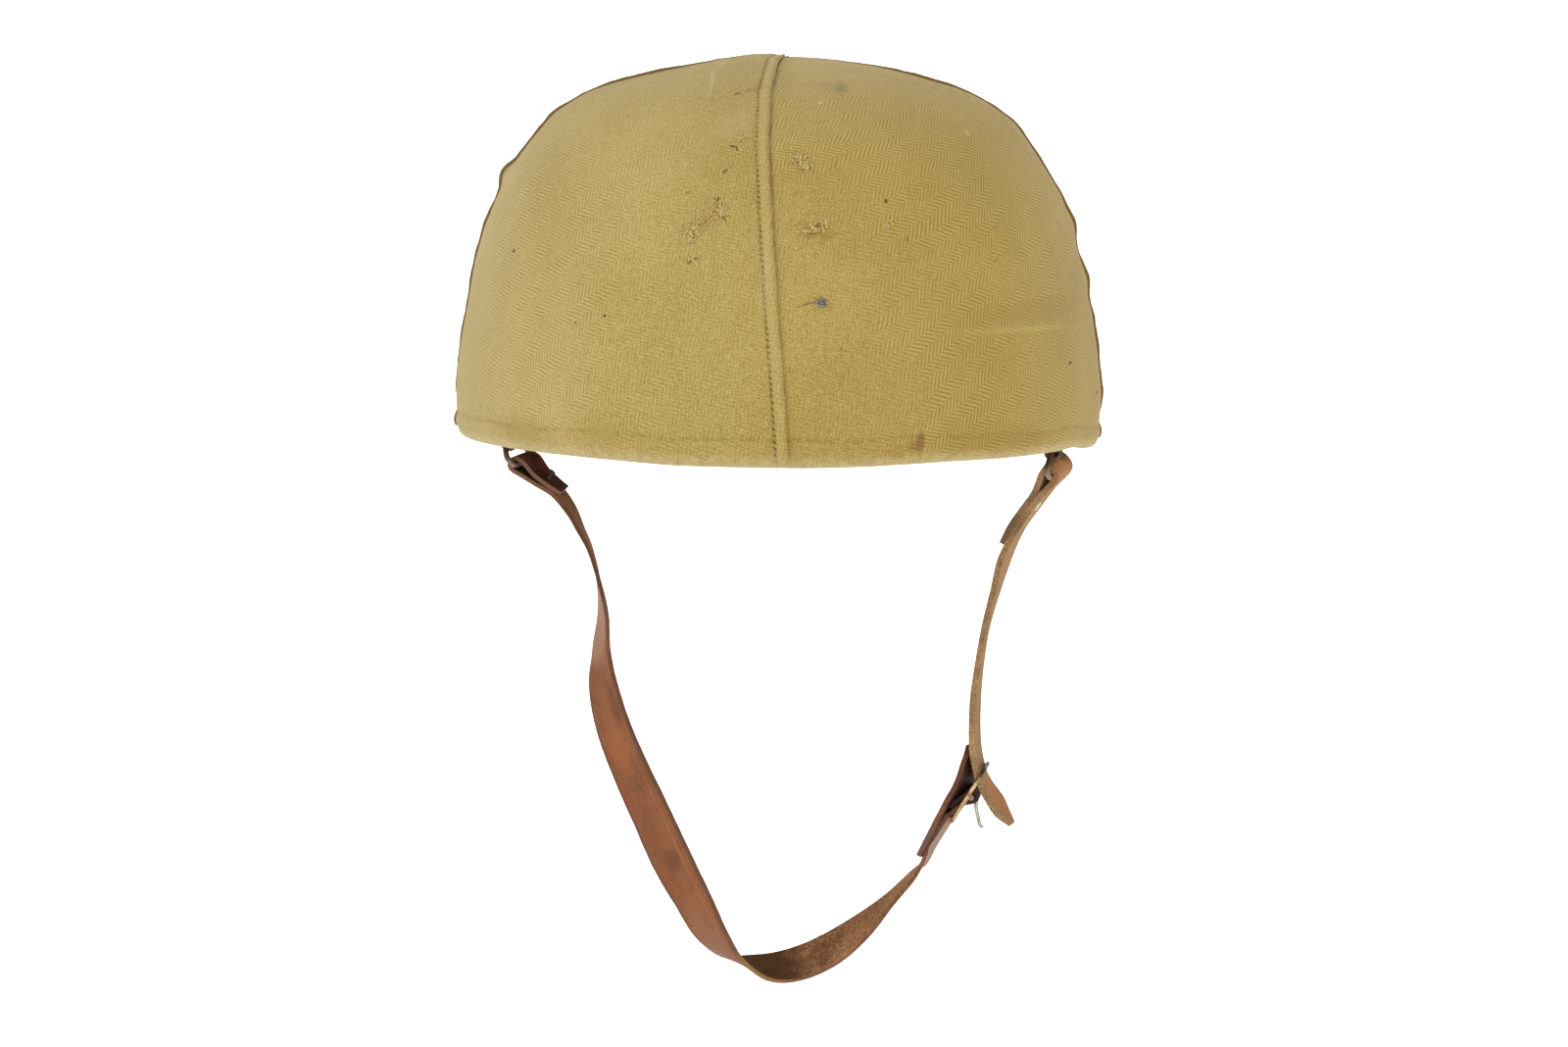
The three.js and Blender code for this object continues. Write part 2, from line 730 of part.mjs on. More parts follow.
// A bail is a wire loop, narrow at the lug and as wide as the strap below, whose ends butt in the fold
function makeBail({ sign, eye, bar, rear }) {
  const top = new THREE.Vector3(sign * eye, 0, eyeHeight);
  const down = new THREE.Vector3(bar.x, 0, bar.z).sub(top);
  const height = down.length();
  down.normalize();
  const width = new THREE.Vector3(rear.x, 0, rear.z).divideScalar(strapWidth);
  width.y = Math.sqrt(1 - width.lengthSq());
  const halfTop = bailTopWidth / 2;
  const halfBottom = bailBottomWidth / 2;
  const place = (across, drop) =>
    top.clone().addScaledVector(width, across).addScaledVector(down, drop);
  const half = [
    [bailJoint / 2, height],
    [halfBottom * 0.5, height],
    [halfBottom - bailCorner, height],
    [halfBottom - 0.4, height - 0.4],
    [halfBottom, height - bailCorner],
    [halfBottom, height - bailUpright],
    [halfTop + 0.9, bailCorner],
    [halfTop - 0.2, 0.5],
    [halfTop - bailCorner, 0],
    [0.6, 0],
  ];
  const points = half.map(([across, drop]) => place(across, drop));
  const mirrored = half.map(([across, drop]) => place(-across, drop)).reverse();
  return tube([...points, ...mirrored], wireRadius, 44, 6);
}

// A lug stands on the shell's inner face, steps in over the turned cloth, and ends in an eye
function makeLug({ sign, eye }) {
  const wall = sections[1].side - hollowInset;
  const legOut = wall - ease - clothThickness - 3 * gap;
  const foot = new THREE.Shape();
  foot.moveTo(wall - 3 * gap, footBottom);
  foot.lineTo(wall - 3 * gap - footLean, footTop);
  foot.lineTo(wall - 3 * gap - footLean - lugThickness, footTop);
  foot.lineTo(legOut - lugThickness, footBottom);
  foot.closePath();
  const leg = new THREE.Shape();
  leg.moveTo(legOut, footBottom + 2);
  leg.lineTo(legOut - lugThickness, footBottom + 2);
  leg.lineTo(legOut - lugThickness, 6);
  leg.lineTo(eye, eyeHeight + eyeRadius);
  leg.absarc(eye, eyeHeight, eyeRadius, Math.PI / 2, 2 * Math.PI, false);
  leg.lineTo(legOut, 4);
  leg.closePath();
  const hole = new THREE.Path();
  hole.absarc(eye, eyeHeight, eyeHole, 0, 2 * Math.PI, true);
  leg.holes.push(hole);
  const solids = [
    [foot, footWidth],
    [leg, eyeWidth],
  ].map(([shape, width]) => {
    const plate = new THREE.ExtrudeGeometry(shape, {
      depth: width,
      bevelEnabled: false,
      curveSegments: 8,
    });
    plate.translate(0, 0, -width / 2).rotateX(Math.PI / 2);
    if (sign < 0) plate.rotateZ(Math.PI);
    return toSolid(plate);
  });
  return toGeometry(solids[0].add(solids[1]));
}

function roundedRectangle(path, length, width, corner) {
  const x = width / 2;
  const y = length / 2;
  path.moveTo(x, -y + corner);
  path.lineTo(x, y - corner);
  path.absarc(x - corner, y - corner, corner, 0, Math.PI / 2, false);
  path.lineTo(-x + corner, y);
  path.absarc(-x + corner, y - corner, corner, Math.PI / 2, Math.PI, false);
  path.lineTo(-x, -y + corner);
  path.absarc(-x + corner, -y + corner, corner, Math.PI, 1.5 * Math.PI, false);
  path.lineTo(x - corner, -y);
  path.absarc(x - corner, -y + corner, corner, 1.5 * Math.PI, 2 * Math.PI, false);
  path.closePath();
  return path;
}

function makeBuckleFrame() {
  const inset = railBevel;
  const outline = roundedRectangle(
    new THREE.Shape(),
    buckleLength - 2 * inset,
    buckleWidth - 2 * inset,
    frameCorner,
  );
  const window = roundedRectangle(
    new THREE.Path(),
    buckleLength - 2 * railWidth + 2 * inset,
    buckleWidth - 2 * railWidth + 2 * inset,
    frameCorner - railWidth + inset + 0.6,
  );
  outline.holes.push(window);
  const frame = new THREE.ExtrudeGeometry(outline, {
    depth: railThickness - 2 * railBevel,
    bevelThickness: railBevel,
    bevelSize: railBevel,
    bevelSegments: 1,
    curveSegments: 3,
  });
  frame.translate(0, 0, -(railThickness - 2 * railBevel) / 2);
  // The frame is drawn flat, then stood up with its length along Z and its width along Y
  frame.rotateX(Math.PI / 2).rotateZ(Math.PI / 2);
  const bar = new THREE.CylinderGeometry(barRadius, barRadius, buckleWidth - railWidth, 12);
  const solid = toSolid(frame).add(toSolid(bar));
  return toGeometry(solid).applyMatrix4(bucklePlacement);
}

function makeProng() {
  const down = degrees(prongAngle);
  const along = new THREE.Vector3(Math.sin(down), 0, -Math.cos(down));
  const across = new THREE.Vector3(Math.cos(down), 0, Math.sin(down));
  const place = (far, aside) =>
    new THREE.Vector3().addScaledVector(along, far).addScaledVector(across, aside);
  const points = [];
  for (let angle = -50; angle >= -310; angle -= 32.5) {
    points.push(place(prongEye * Math.cos(degrees(angle)), prongEye * Math.sin(degrees(angle))));
  }
  const shank = [
    [3.1, 0.8],
    [4.6, 0.15],
    [7, 0],
    [10, 0],
    [prongLength - 1.2, 0],
    [prongLength - 0.3, 0.3],
    [prongLength, 1.0],
  ];
  points.push(...shank.map(([far, aside]) => place(far, aside)));
  const prong = tube(points, prongRadius, 34, 6);
  prong.applyMatrix4(new THREE.Matrix4().makeRotationZ(-degrees(buckleYaw)));
  return prong.translate(buckleCentre.x, 0, buckleCentre.z);
}

// The scene graph

const helmet = new THREE.Group();
helmet.position.z = hollowInset - crownHeight;

function addPiece(name, geometry, finish) {
  const mesh = new THREE.Mesh(geometry, new THREE.MeshStandardMaterial(materials[finish]));
  mesh.name = name;
  helmet.add(mesh);
}

addPiece("shell", makeShell(), "shell");
addPiece("cover_front_left", makePanel(-1, false), "cloth");
addPiece("cover_front_right", makePanel(1, false), "cloth");
addPiece("cover_rear_left", makePanel(-1, true), "cloth");
addPiece("cover_rear_right", makePanel(1, true), "cloth");
for (const [side, sizes] of Object.entries(sides)) {
  addPiece("lug_" + side, makeLug(sizes), "wire");
  addPiece("bail_" + side, makeBail(sizes), "wire");
}
addPiece("strap_long", makeLongStrap(), "brownLeather");
addPiece("strap_short", ribbon(shortStrapRows), "tanLeather");
addPiece("stud_left", makeStud(), "wire");
addPiece("buckle_frame", makeBuckleFrame(), "brass");
addPiece("buckle_prong", makeProng(), "steel");
addPiece("buckle_backing", ribbon(backingRows), "brownLeather");

const group = new THREE.Group();
group.add(helmet);

export default group;
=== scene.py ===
import math
import random

import bpy
import numpy as np
from mathutils import Matrix, Vector
from mathutils import noise as softNoise


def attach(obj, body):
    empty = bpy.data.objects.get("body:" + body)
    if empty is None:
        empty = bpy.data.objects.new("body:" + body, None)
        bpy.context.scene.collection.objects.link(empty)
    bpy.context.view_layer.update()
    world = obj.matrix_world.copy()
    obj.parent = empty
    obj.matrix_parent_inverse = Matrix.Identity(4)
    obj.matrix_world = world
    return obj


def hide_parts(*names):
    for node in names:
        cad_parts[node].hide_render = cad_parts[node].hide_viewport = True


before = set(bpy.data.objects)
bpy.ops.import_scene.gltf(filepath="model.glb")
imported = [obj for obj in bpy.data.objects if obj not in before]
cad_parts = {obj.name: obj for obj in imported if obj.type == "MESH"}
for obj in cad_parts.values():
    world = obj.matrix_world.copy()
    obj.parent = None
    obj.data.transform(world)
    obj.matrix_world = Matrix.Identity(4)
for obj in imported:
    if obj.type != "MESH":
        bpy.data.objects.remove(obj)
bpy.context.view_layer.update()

mm = 0.001
rimDrop = 133.6  # the rim lies this far below the origin, so a height above the rim less this is a z


def direction(degrees):
    angle = math.radians(degrees)
    return math.cos(angle), math.sin(angle)


view = {
    "target": (0.003, 0.0, -0.1656),
    "distance": 1.6,
    "elevation": 4.75,
    "roll": 1.1,
    "lens": 96.84,
}


def addCamera():
    (level, fall), (rollCos, rollSin) = direction(view["elevation"]), direction(view["roll"])
    forward, up, right = Vector((0, level, -fall)), Vector((0, fall, level)), Vector((1, 0, 0))
    rolledRight, rolledUp = right * rollCos + up * rollSin, up * rollCos - right * rollSin
    bpy.ops.object.camera_add()
    camera = named("photoCamera")
    turn = Matrix((rolledRight, rolledUp, -forward)).transposed().to_4x4()
    camera.matrix_world = Matrix.Translation(Vector(view["target"]) - forward * view["distance"]) @ turn
    camera.data.sensor_width = 36
    camera.data.lens = view["lens"]
    bpy.context.scene.camera = camera


studio = {
    "floorHeight": -0.52,
    "backEdge": 5.9,
    "nearGlow": 0.12,
    "farGlow": 0.9,
    "world": 0.5,
    # place, size, power
    "lights": {
        "keyLeft": ((-1.8, -1.0, 0.8), 1.1, 15),
        "fillRight": ((1.9, -0.9, 0.4), 1.2, 9),
        "fillFront": ((0.3, -2.2, -0.05), 1.0, 11),
        "top": ((-0.1, -0.3, 1.7), 1.4, 9),
    },
}


def addStudio():
    world = bpy.data.worlds.new("paleRoom")
    bpy.context.scene.world = world
    world.use_nodes = True
    background = world.node_tree.nodes["Background"].inputs
    background["Color"].default_value = (1, 1, 1, 1)
    background["Strength"].default_value = studio["world"]

    # a floor that sweeps up behind the object
    bpy.ops.mesh.primitive_plane_add(size=9, location=(0, 1.5, studio["floorHeight"]))
    floor = named("paleFloor")
    bpy.ops.object.transform_apply(location=True)
    choose(floor, "VERT", lambda vertex: vertex.co.y > studio["backEdge"])
    bpy.ops.mesh.extrude_region_move(TRANSFORM_OT_translate={"value": (0, 0, 4)})
    endEdit()
    low = studio["floorHeight"] + 0.1
    choose(floor, "VERT", lambda vertex: vertex.co.y > studio["backEdge"] and vertex.co.z < low)
    bpy.ops.mesh.bevel(offset=1.4, segments=16)
    endEdit()
    bpy.ops.object.shade_smooth()
    paper = newMaterial("palePaper")
    glow = ramp(split(objectPlace())[1], -0.3, 0.65, studio["nearGlow"], studio["farGlow"])
    plain = addNode("ShaderNodeBsdfPrincipled", {
        "Base Color": (0.9, 0.9, 0.9, 1), "Roughness": 0.9,
        "Emission Color": (1, 1, 1, 1), "Emission Strength": glow,
    })
    addNode("ShaderNodeOutputMaterial", {"Surface": plain.outputs[0]})
    floor.data.materials.append(paper)

    for name, (place, size, power) in studio["lights"].items():
        bpy.ops.object.light_add(type="AREA", location=place)
        lamp = named(name)
        lamp.data.shape = "SQUARE"
        lamp.data.size = size
        lamp.data.energy = power
        aim = Vector((0, 0, -0.1)) - Vector(place)
        lamp.rotation_euler = aim.to_track_quat("-Z", "Y").to_euler()

    settings = bpy.context.scene.view_settings
    settings.view_transform = "Standard"
    settings.look = "None"


bench = {"material": None}  # the material in hand


def newMaterial(name):
    bench["material"] = bpy.data.materials.new(name)
    bench["material"].use_nodes = True
    bench["material"].node_tree.nodes.clear()
    return bench["material"]


def addNode(kind, values=None, **settings):
    tree = bench["material"].node_tree
    made = tree.nodes.new(kind)
    for key, value in settings.items():
        setattr(made, key, value)
    for key, value in (values or {}).items():
        if isinstance(value, bpy.types.NodeSocket):
            tree.links.new(value, made.inputs[key])
        else:
            made.inputs[key].default_value = value
    return made


def calc(operation, *values):
    return addNode("ShaderNodeMath", dict(enumerate(values)), operation=operation).outputs[0]


def times(first, *rest):
    for value in rest:
        first = calc("MULTIPLY", first, value)
    return first


def plus(first, *rest):
    for value in rest:
        first = calc("ADD", first, value)
    return first


def less(first, second):
    return calc("SUBTRACT", first, second)


def swing(value, amount):
    # how far a noise leans to either side of its middle
    return times(less(value, 0.5), amount)


def ramp(value, low, high, start=0.0, end=1.0):
    values = {0: value, 1: low, 2: high, 3: start, 4: end}
    return addNode("ShaderNodeMapRange", values, interpolation_type="SMOOTHSTEP").outputs[0]


def mixColours(amount, *pair):
    # a plain colour is given as seen on screen, 0 to 255
    first, second = [(*[(c / 255) ** 2.2 for c in end], 1.0) if isinstance(end, tuple) else end for end in pair]
    return addNode("ShaderNodeMix", {0: amount, 6: first, 7: second}, data_type="RGBA").outputs[2]


def objectPlace():
    return addNode("ShaderNodeTexCoord").outputs["Object"]


def mapPlace(name):
    return addNode("ShaderNodeUVMap", uv_map=name).outputs[0]


def split(vector):
    return addNode("ShaderNodeSeparateXYZ", {0: vector}).outputs


def spotReach(vector, place, size, turn=(0, 0, 0)):
    # how far a point lies from the middle of a spot, 1 at the spot's edge
    values = {"Vector": vector, "Location": place, "Rotation": turn, "Scale": size}
    spot = addNode("ShaderNodeMapping", values, vector_type="TEXTURE")
    return addNode("ShaderNodeVectorMath", {0: spot.outputs[0]}, operation="LENGTH").outputs[1]


def cloud(where, size, detail=2.0, roughness=0.5, stretch=None):
    # soft noise whose lumps are about size millimetres across
    if stretch:
        where = addNode("ShaderNodeMapping", {"Vector": where, "Scale": stretch}).outputs[0]
    values = {"Vector": where, "Scale": 1 / (size * mm), "Detail": detail, "Roughness": roughness}
    return addNode("ShaderNodeTexNoise", values).outputs[0]


def finishMaterial(colour, height, bumpMm, **shader):
    bump = addNode("ShaderNodeBump", {"Height": height, "Strength": 1.0, "Distance": bumpMm * mm})
    values = {"Base Color": colour, "Normal": bump.outputs[0]}
    values.update({key.replace("_", " "): value for key, value in shader.items()})
    plain = addNode("ShaderNodeBsdfPrincipled", values)
    addNode("ShaderNodeOutputMaterial", {"Surface": plain.outputs[0]})
    return bench["material"]


def named(name):
    # the object just made, given its name
    bpy.context.object.name = name
    return bpy.context.object


def pick(piece):
    bpy.ops.object.select_all(action="DESELECT")
    piece.select_set(True)
    bpy.context.view_layer.objects.active = piece


def startEdit(selection="SELECT"):
    bpy.ops.object.mode_set(mode="EDIT")
    bpy.ops.mesh.select_all(action=selection)


def endEdit():
    bpy.ops.object.mode_set(mode="OBJECT")


def choose(piece, kind, rule):
    # edit mode, with only those vertices or faces selected that the rule picks
    startEdit("DESELECT")
    bpy.ops.mesh.select_mode(type=kind)
    endEdit()
    for item in piece.data.vertices if kind == "VERT" else piece.data.polygons:
        item.select = bool(rule(item))
    bpy.ops.object.mode_set(mode="EDIT")


def alongTable(rows, t):
    # a smooth curve through the rows of a table, t from 0 at the first to 1 at the last
    rows = np.asarray(rows, float)
    padded = np.vstack([2 * rows[0] - rows[1], rows, 2 * rows[-1] - rows[-2]])
    place = share(t) * (len(rows) - 1)
    i = np.minimum(place.astype(int), len(rows) - 2)
    f = (place - i)[..., None]
    a, b, c, d = padded[i], padded[i + 1], padded[i + 2], padded[i + 3]
    return 0.5 * (2 * b + (c - a) * f + (2 * a - 5 * b + 4 * c - d) * f**2 + (3 * b - a - 3 * c + d) * f**3)


def unit(vectors):
    return vectors / np.maximum(np.linalg.norm(vectors, axis=-1, keepdims=True), 1e-12)


def lengthAlong(line):
    return np.concatenate([[0], np.cumsum(np.linalg.norm(np.diff(line, axis=0), axis=1))])


def hump(values, middle, reach):
    return np.exp(-(((values - middle) / reach) ** 2))


def share(values):
    # held between 0 and 1
    return np.clip(values, 0, 1)


def eased(values):
    return values * values * (3 - 2 * values)


def waver(points, size, seed=0):
    # soft noise at each point, about -1 to 1, with lumps about size millimetres across
    offset = Vector((seed * 17.3, seed * 7.1, seed * 3.7))
    flat = np.asarray(points).reshape(-1, 3)
    made = [softNoise.noise(Vector(p) / size + offset) for p in flat]
    return np.array(made).reshape(np.asarray(points).shape[:-1])


def addSheetGrid(name, places, maps):
    # a grid primitive whose points are laid on the given rows of places, in millimetres
    rows, columns = places.shape[:2]
    bpy.ops.mesh.primitive_grid_add(x_subdivisions=columns - 1, y_subdivisions=rows - 1, size=0.1)
    piece = named(name)
    piece.data.name = name
    piece.data.vertices.foreach_set("co", (places.reshape(-1, 3) * mm).ravel())
    corners = np.empty(len(piece.data.loops), int)
    piece.data.loops.foreach_get("vertex_index", corners)
    for layer in list(piece.data.uv_layers):
        piece.data.uv_layers.remove(layer)
    for mapName, values in maps.items():
        layer = piece.data.uv_layers.new(name=mapName)
        layer.data.foreach_set("uv", (values.reshape(-1, 2)[corners] * mm).ravel())
    piece.data.update()
    return piece


def applyModifier(piece, kind, **settings):
    pick(piece)
    modifier = piece.modifiers.new(kind.title(), kind)
    for key, value in settings.items():
        setattr(modifier, key, value)
    bpy.ops.object.modifier_apply(modifier=modifier.name)


def roundEdges(piece, width, segments, angle):
    limit = {"limit_method": "ANGLE", "angle_limit": math.radians(angle)}
    applyModifier(piece, "BEVEL", width=width * mm, segments=segments, **limit)


def addSlots(piece, count):
    for _ in range(count):
        piece.data.materials.append(None)


def copyNode(nodeName, name):
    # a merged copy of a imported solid
    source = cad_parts[nodeName]
    piece = source.copy()
    piece.data = source.data.copy()
    piece.name = name
    piece.data.name = name
    piece.parent = None
    piece.matrix_world = source.matrix_world.copy()
    bpy.context.collection.objects.link(piece)
    pick(piece)
    if piece.data.has_custom_normals:
        bpy.ops.mesh.customdata_custom_splitnormals_clear()
    startEdit()
    bpy.ops.mesh.remove_doubles(threshold=0.000005)
    endEdit()
    return piece


def smoothShade(piece, angle=None):
    pick(piece)
    if angle is None:
        bpy.ops.object.shade_smooth()
    else:
        bpy.ops.object.shade_smooth_by_angle(angle=math.radians(angle))
    return piece


def smoothCopy(nodeName, name, fatten=0):
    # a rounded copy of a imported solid, fattened where the smoothing would leave it thin
    piece = copyNode(nodeName, name)
    applyModifier(piece, "SUBSURF", levels=2, render_levels=2)
    if fatten:
        startEdit()
        bpy.ops.transform.shrink_fatten(value=fatten * mm)
        endEdit()
    return smoothShade(piece)


def dress(piece, materials):
    # slot by slot, because clearing the list would put every face back to the first material
    slots = piece.data.materials
    while len(slots) > len(materials):
        slots.pop()
    for i, material in enumerate(materials):
        if i < len(slots):
            slots[i] = material
        else:
            slots.append(material)


def fit(piece, finishes, node=None, body="helmet"):
    dress(piece, finishes)
    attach(piece, body)
    if node:
        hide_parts(node)


cover = {
    "thickness": 1.5,
    "planRoundness": 2.2,
    # height above the rim, half width, front and rear half depth
    "dome": [
        (8, 121.0, 140, 144), (20, 121.2, 140, 144), (35, 119.6, 138.5, 143), (50, 117.0, 136, 141),
        (65, 114.0, 132.5, 138), (80, 110.3, 128, 133.5), (92, 105.8, 122.5, 128), (104, 99.3, 114.5, 120),
        (115, 91.2, 104.5, 110), (123, 83.2, 94.5, 100), (130, 73.0, 82, 87.5), (135, 61.0, 68, 73),
        (139.5, 45.0, 50, 54), (143, 24.5, 27, 29.5), (145, 0, 0, 0),
    ],
    # the cloth turned in under the rim: inset, height
    "hem": [(14.1, 13), (14.1, 5), (12.8, 1.6), (9.8, 0), (5.0, 0), (1.6, 1.6), (0.1, 5.2), (0, 8)],
    # the front seam's height and its distance from the middle
    "seam": [(0, 4.3), (19, 2.6), (49, -0.3), (86, -3.4), (110, -5.0), (128, -4.8), (141, -2.0), (145, 0)],
    "lapWidth": 4.2,
    "lapHeight": 1.55,
    "flangeWidth": 1.5,
    "flangeHeight": 1.2,
    "hemLine": 9.3,
    # how far the worn crown has sunk or risen: distance from the middle, change in height
    "crownSag": [
        (-95, 0), (-75, -0.4), (-62, -1.3), (-50, -1.8), (-40, -1.8), (-30, -1.3), (-20, -0.3), (-12, 0.6),
        (-5, 0.6), (0, -0.7), (10, -0.5), (25, -0.8), (45, -1.1), (55, -1.1), (65, -0.5), (78, -0.3), (86, 0.2),
        (94, -1.2), (105, -1.6), (115, -0.6),
    ],
    # how far the rim's lower edge dips or lifts along the front
    "rimSag": [
        (-122, 0), (-105, 0.3), (-85, 0), (-60, -0.7), (-35, -1.7), (-10, -1.6), (10, -1.5), (30, -0.8), (45, 0),
        (60, 0.8), (80, 1.3), (95, 1.9), (104, 2.3), (108, 2.9), (113, 1.6), (118, 0.6), (122, 0),
    ],
    # side, height, lift, reach up and down, reach in from the side seam
    "puckers": [
        (-1, 121, 0.9, 4, 12), (-1, 98, 2.3, 4, 12), (-1, 77, 0.9, 5, 12), (-1, 11.5, -0.9, 3.5, 12),
        (-1, 4, 0.8, 4, 12), (1, 120, 0.8, 4, 12), (1, 86, 1.0, 4, 12), (1, 64, 1.0, 5, 12), (1, 24, 0.7, 8, 12),
        (1, 10, -0.9, 3.5, 12), (1, 4, 0.6, 4, 12), (1, 76, -1.2, 17, 34), (1, 104, -0.8, 9, 30),
        (-1, 66, 0.4, 9, 30),
    ],
    # soft folds: x, height, length, breadth, tilt in degrees, lift
    "folds": [
        (108, 80, 16, 2.4, 62, 0.9), (86, 48.4, 44, 1.8, 4, 0.5), (76, 47.5, 60, 3.4, 3, 0.4),
        (92, 54, 50, 3.0, 5, -0.6), (33, 43, 14, 2.5, 5, 0.3), (-26.5, 128, 24, 1.5, 84, 0.8),
        (-22, 128, 24, 2.6, 80, -0.5), (-13, 129.6, 10, 0.9, 10, -0.6), (-12, 131.6, 11, 1.2, 8, 0.4),
        (-4, 128, 12, 3, 5, 0.3), (97, 88, 22, 3.2, 48, 0.5), (100, 80, 20, 3.0, 50, -0.5),
        (-80, 45, 40, 3.5, 2, -0.25), (-60, 27, 60, 3, -1, 0.2), (60, 24, 50, 3, 2, 0.2), (110, 60, 30, 5, 80, 0.4),
        (-112, 60, 34, 5, 95, 0.35), (60, 118, 30, 6, -30, 0.35), (-60, 112, 34, 6, 35, -0.3),
    ],
}


def domePlace(turn, climb):
    half = alongTable(cover["dome"], climb)
    angle = np.radians(turn)
    c, s = np.cos(angle), np.sin(angle)
    power = 2 / cover["planRoundness"]
    depth = np.where(s < 0, half[..., 2], half[..., 3])
    x = half[..., 1] * np.sign(c) * np.abs(c) ** power
    y = depth * np.sign(s) * np.abs(s) ** power
    return np.stack([x, y, half[..., 0]], -1)


def climbsEvery(step):
    # climbs that are step millimetres apart along the front of the dome
    fine = np.linspace(0, 1, 2000)
    length = lengthAlong(domePlace(-90.0 + 0 * fine, fine))
    return np.interp(np.linspace(0, length[-1], int(length[-1] / step) + 1), length, fine)


def fromTable(name, place):
    table = np.array(cover[name])
    return np.interp(place, table[:, 0], table[:, 1])


def turnAtX(x, climb, back):
    half = alongTable(cover["dome"], climb)[..., 1]
    c = np.sign(x) * np.minimum(np.abs(x) / max(half, 1e-6), 1) ** (cover["planRoundness"] / 2)
    angle = np.degrees(np.arccos(c))
    return angle if back else -angle


def makePanel(name, side, back):
    facing = -side if back else side
    hemSteps, hiddenSteps, plainColumns, rowStep, fineSteps = 26, 20, 104, 1.6, 500
    shortRow = 60  # on a shorter row, near the crown, the columns draw together
    nearSeam = np.array([0, 0.3, 0.7, 1.2, 1.8, 2.4, 3.0, 3.5, 3.9, 4.2, 4.5, 4.9, 5.5, 6.4, 7.6])
    nearSide = np.array([9, 7.4, 6, 5, 4.2, 3.5, 2.9, 2.4, 1.9, 1.5, 1.1, 0.7, 0.35, 0])
    hem = np.vstack([cover["hem"], [(-0.1, 12)]])
    hemRows = alongTable(hem, np.linspace(0, (len(hem) - 2) / (len(hem) - 1), hemSteps))[:-1]
    rows = [(0.0, h) for h in hemRows] + [(c, None) for c in climbsEvery(rowStep)]
    places, fromSeam, fromSide = [], [], []
    for climb, hemRow in rows:
        height = domePlace(-90.0, climb)[2] if hemRow is None else hemRow[1]
        atCrown = climb > 0.9999
        start = 90.0 if atCrown else turnAtX(0 if back else fromTable("seam", height), climb, back)
        end = 0.0 if side > 0 else (180.0 if back else -180.0)
        turns = np.linspace(start, end, fineSteps)
        length = lengthAlong(domePlace(turns, np.full(fineSteps, climb)))
        total = max(length[-1], 1e-6)
        shrink = min(1, total / shortRow)
        first, last = nearSeam[-1] * shrink, total - nearSide[0] * shrink
        middle = np.linspace(first, last, plainColumns + 1)[1:-1]
        away = np.concatenate([nearSeam * shrink, middle, total - nearSide * shrink])
        turn = np.interp(away, length, turns)
        place = domePlace(turn, np.full(len(turn), climb))
        if hemRow is not None:
            across = domePlace(turn + 0.6, np.zeros(len(turn))) - domePlace(turn - 0.6, np.zeros(len(turn)))
            level = unit(np.stack([across[:, 1], -across[:, 0], np.zeros(len(turn))], -1))
            place = place - level * hemRow[0]
            place[:, 2] = hemRow[1]
        places.append(place)
        fromSeam.append(away / max(shrink, 1e-6))
        fromSide.append((total - away) / max(shrink, 1e-6))
    places = np.array(places)
    fromSeam, fromSide = np.array(fromSeam), np.array(fromSide)
    out = unit(np.cross(np.gradient(places, axis=1), np.gradient(places, axis=0))) * facing
    out[-1] = (0, 0, 1)
    climbLength = lengthAlong(places[:, 60])
    climbLength -= climbLength[hemSteps - 1]
    height = places[..., 2].copy()
    shaped = (np.arange(len(rows)) >= hiddenSteps)[:, None]  # the part of the hem out of sight keeps plain
    topFade = share((cover["dome"][-1][0] - height) / 6)

    lift = np.zeros(height.shape)
    if side < 0:
        rolled = np.sqrt(share(1 - (1 - share(fromSeam / 1.3)) ** 2))
        fall = 1 - 0.22 * share((1.6 - fromSeam) / 1.6) - share((fromSeam - 2.0) / 2.2) ** 1.6
        lap = np.where(fromSeam < cover["lapWidth"], rolled * share(fall), 0)
        plump = 1 + 0.3 * waver(places, 8, 3) + 0.22 * waver(places, 3, 4)
        lift += cover["lapHeight"] * lap * plump * (1 - 0.45 * share((height - 132) / 10))
        lift += 0.2 * hump(fromSeam, 5.4, 1.0) * (1 + 1.4 * waver(places, 3.5, 5))
        lift -= 0.26 * hump(fromSeam, cover["lapWidth"], 0.45)
        # the welt's edge lies a little over the right panel, and wanders
        over = hump(fromSeam, 0, 1.6) * (0.35 + 0.35 * waver(places, 9, 31) + 0.3 * waver(places, 2.6, 32))
        places[..., 0] += over * share((139 - height) / 8)
    else:
        lift -= 0.12 * hump(fromSeam, 0, 0.6)
        lift -= 0.14 * hump(fromSeam, 1.6, 1.2) * (1 + waver(places, 6, 33))
    ridge = eased(share((cover["flangeWidth"] + 0.5 - fromSide) / 0.7))
    uneven = 1 + 0.28 * waver(places, 9, 6) + 0.16 * waver(places, 3, 7)
    lift += cover["flangeHeight"] * ridge * uneven * topFade
    lift -= 0.35 * hump(fromSide, cover["flangeWidth"] + 1.1, 0.6)
    for foldSide, foldHeight, rise, reachUp, reachIn in cover["puckers"]:
        if foldSide == side:
            lift += rise * np.exp(-(((height - foldHeight) / reachUp) ** 2) - (fromSide / reachIn) ** 2)
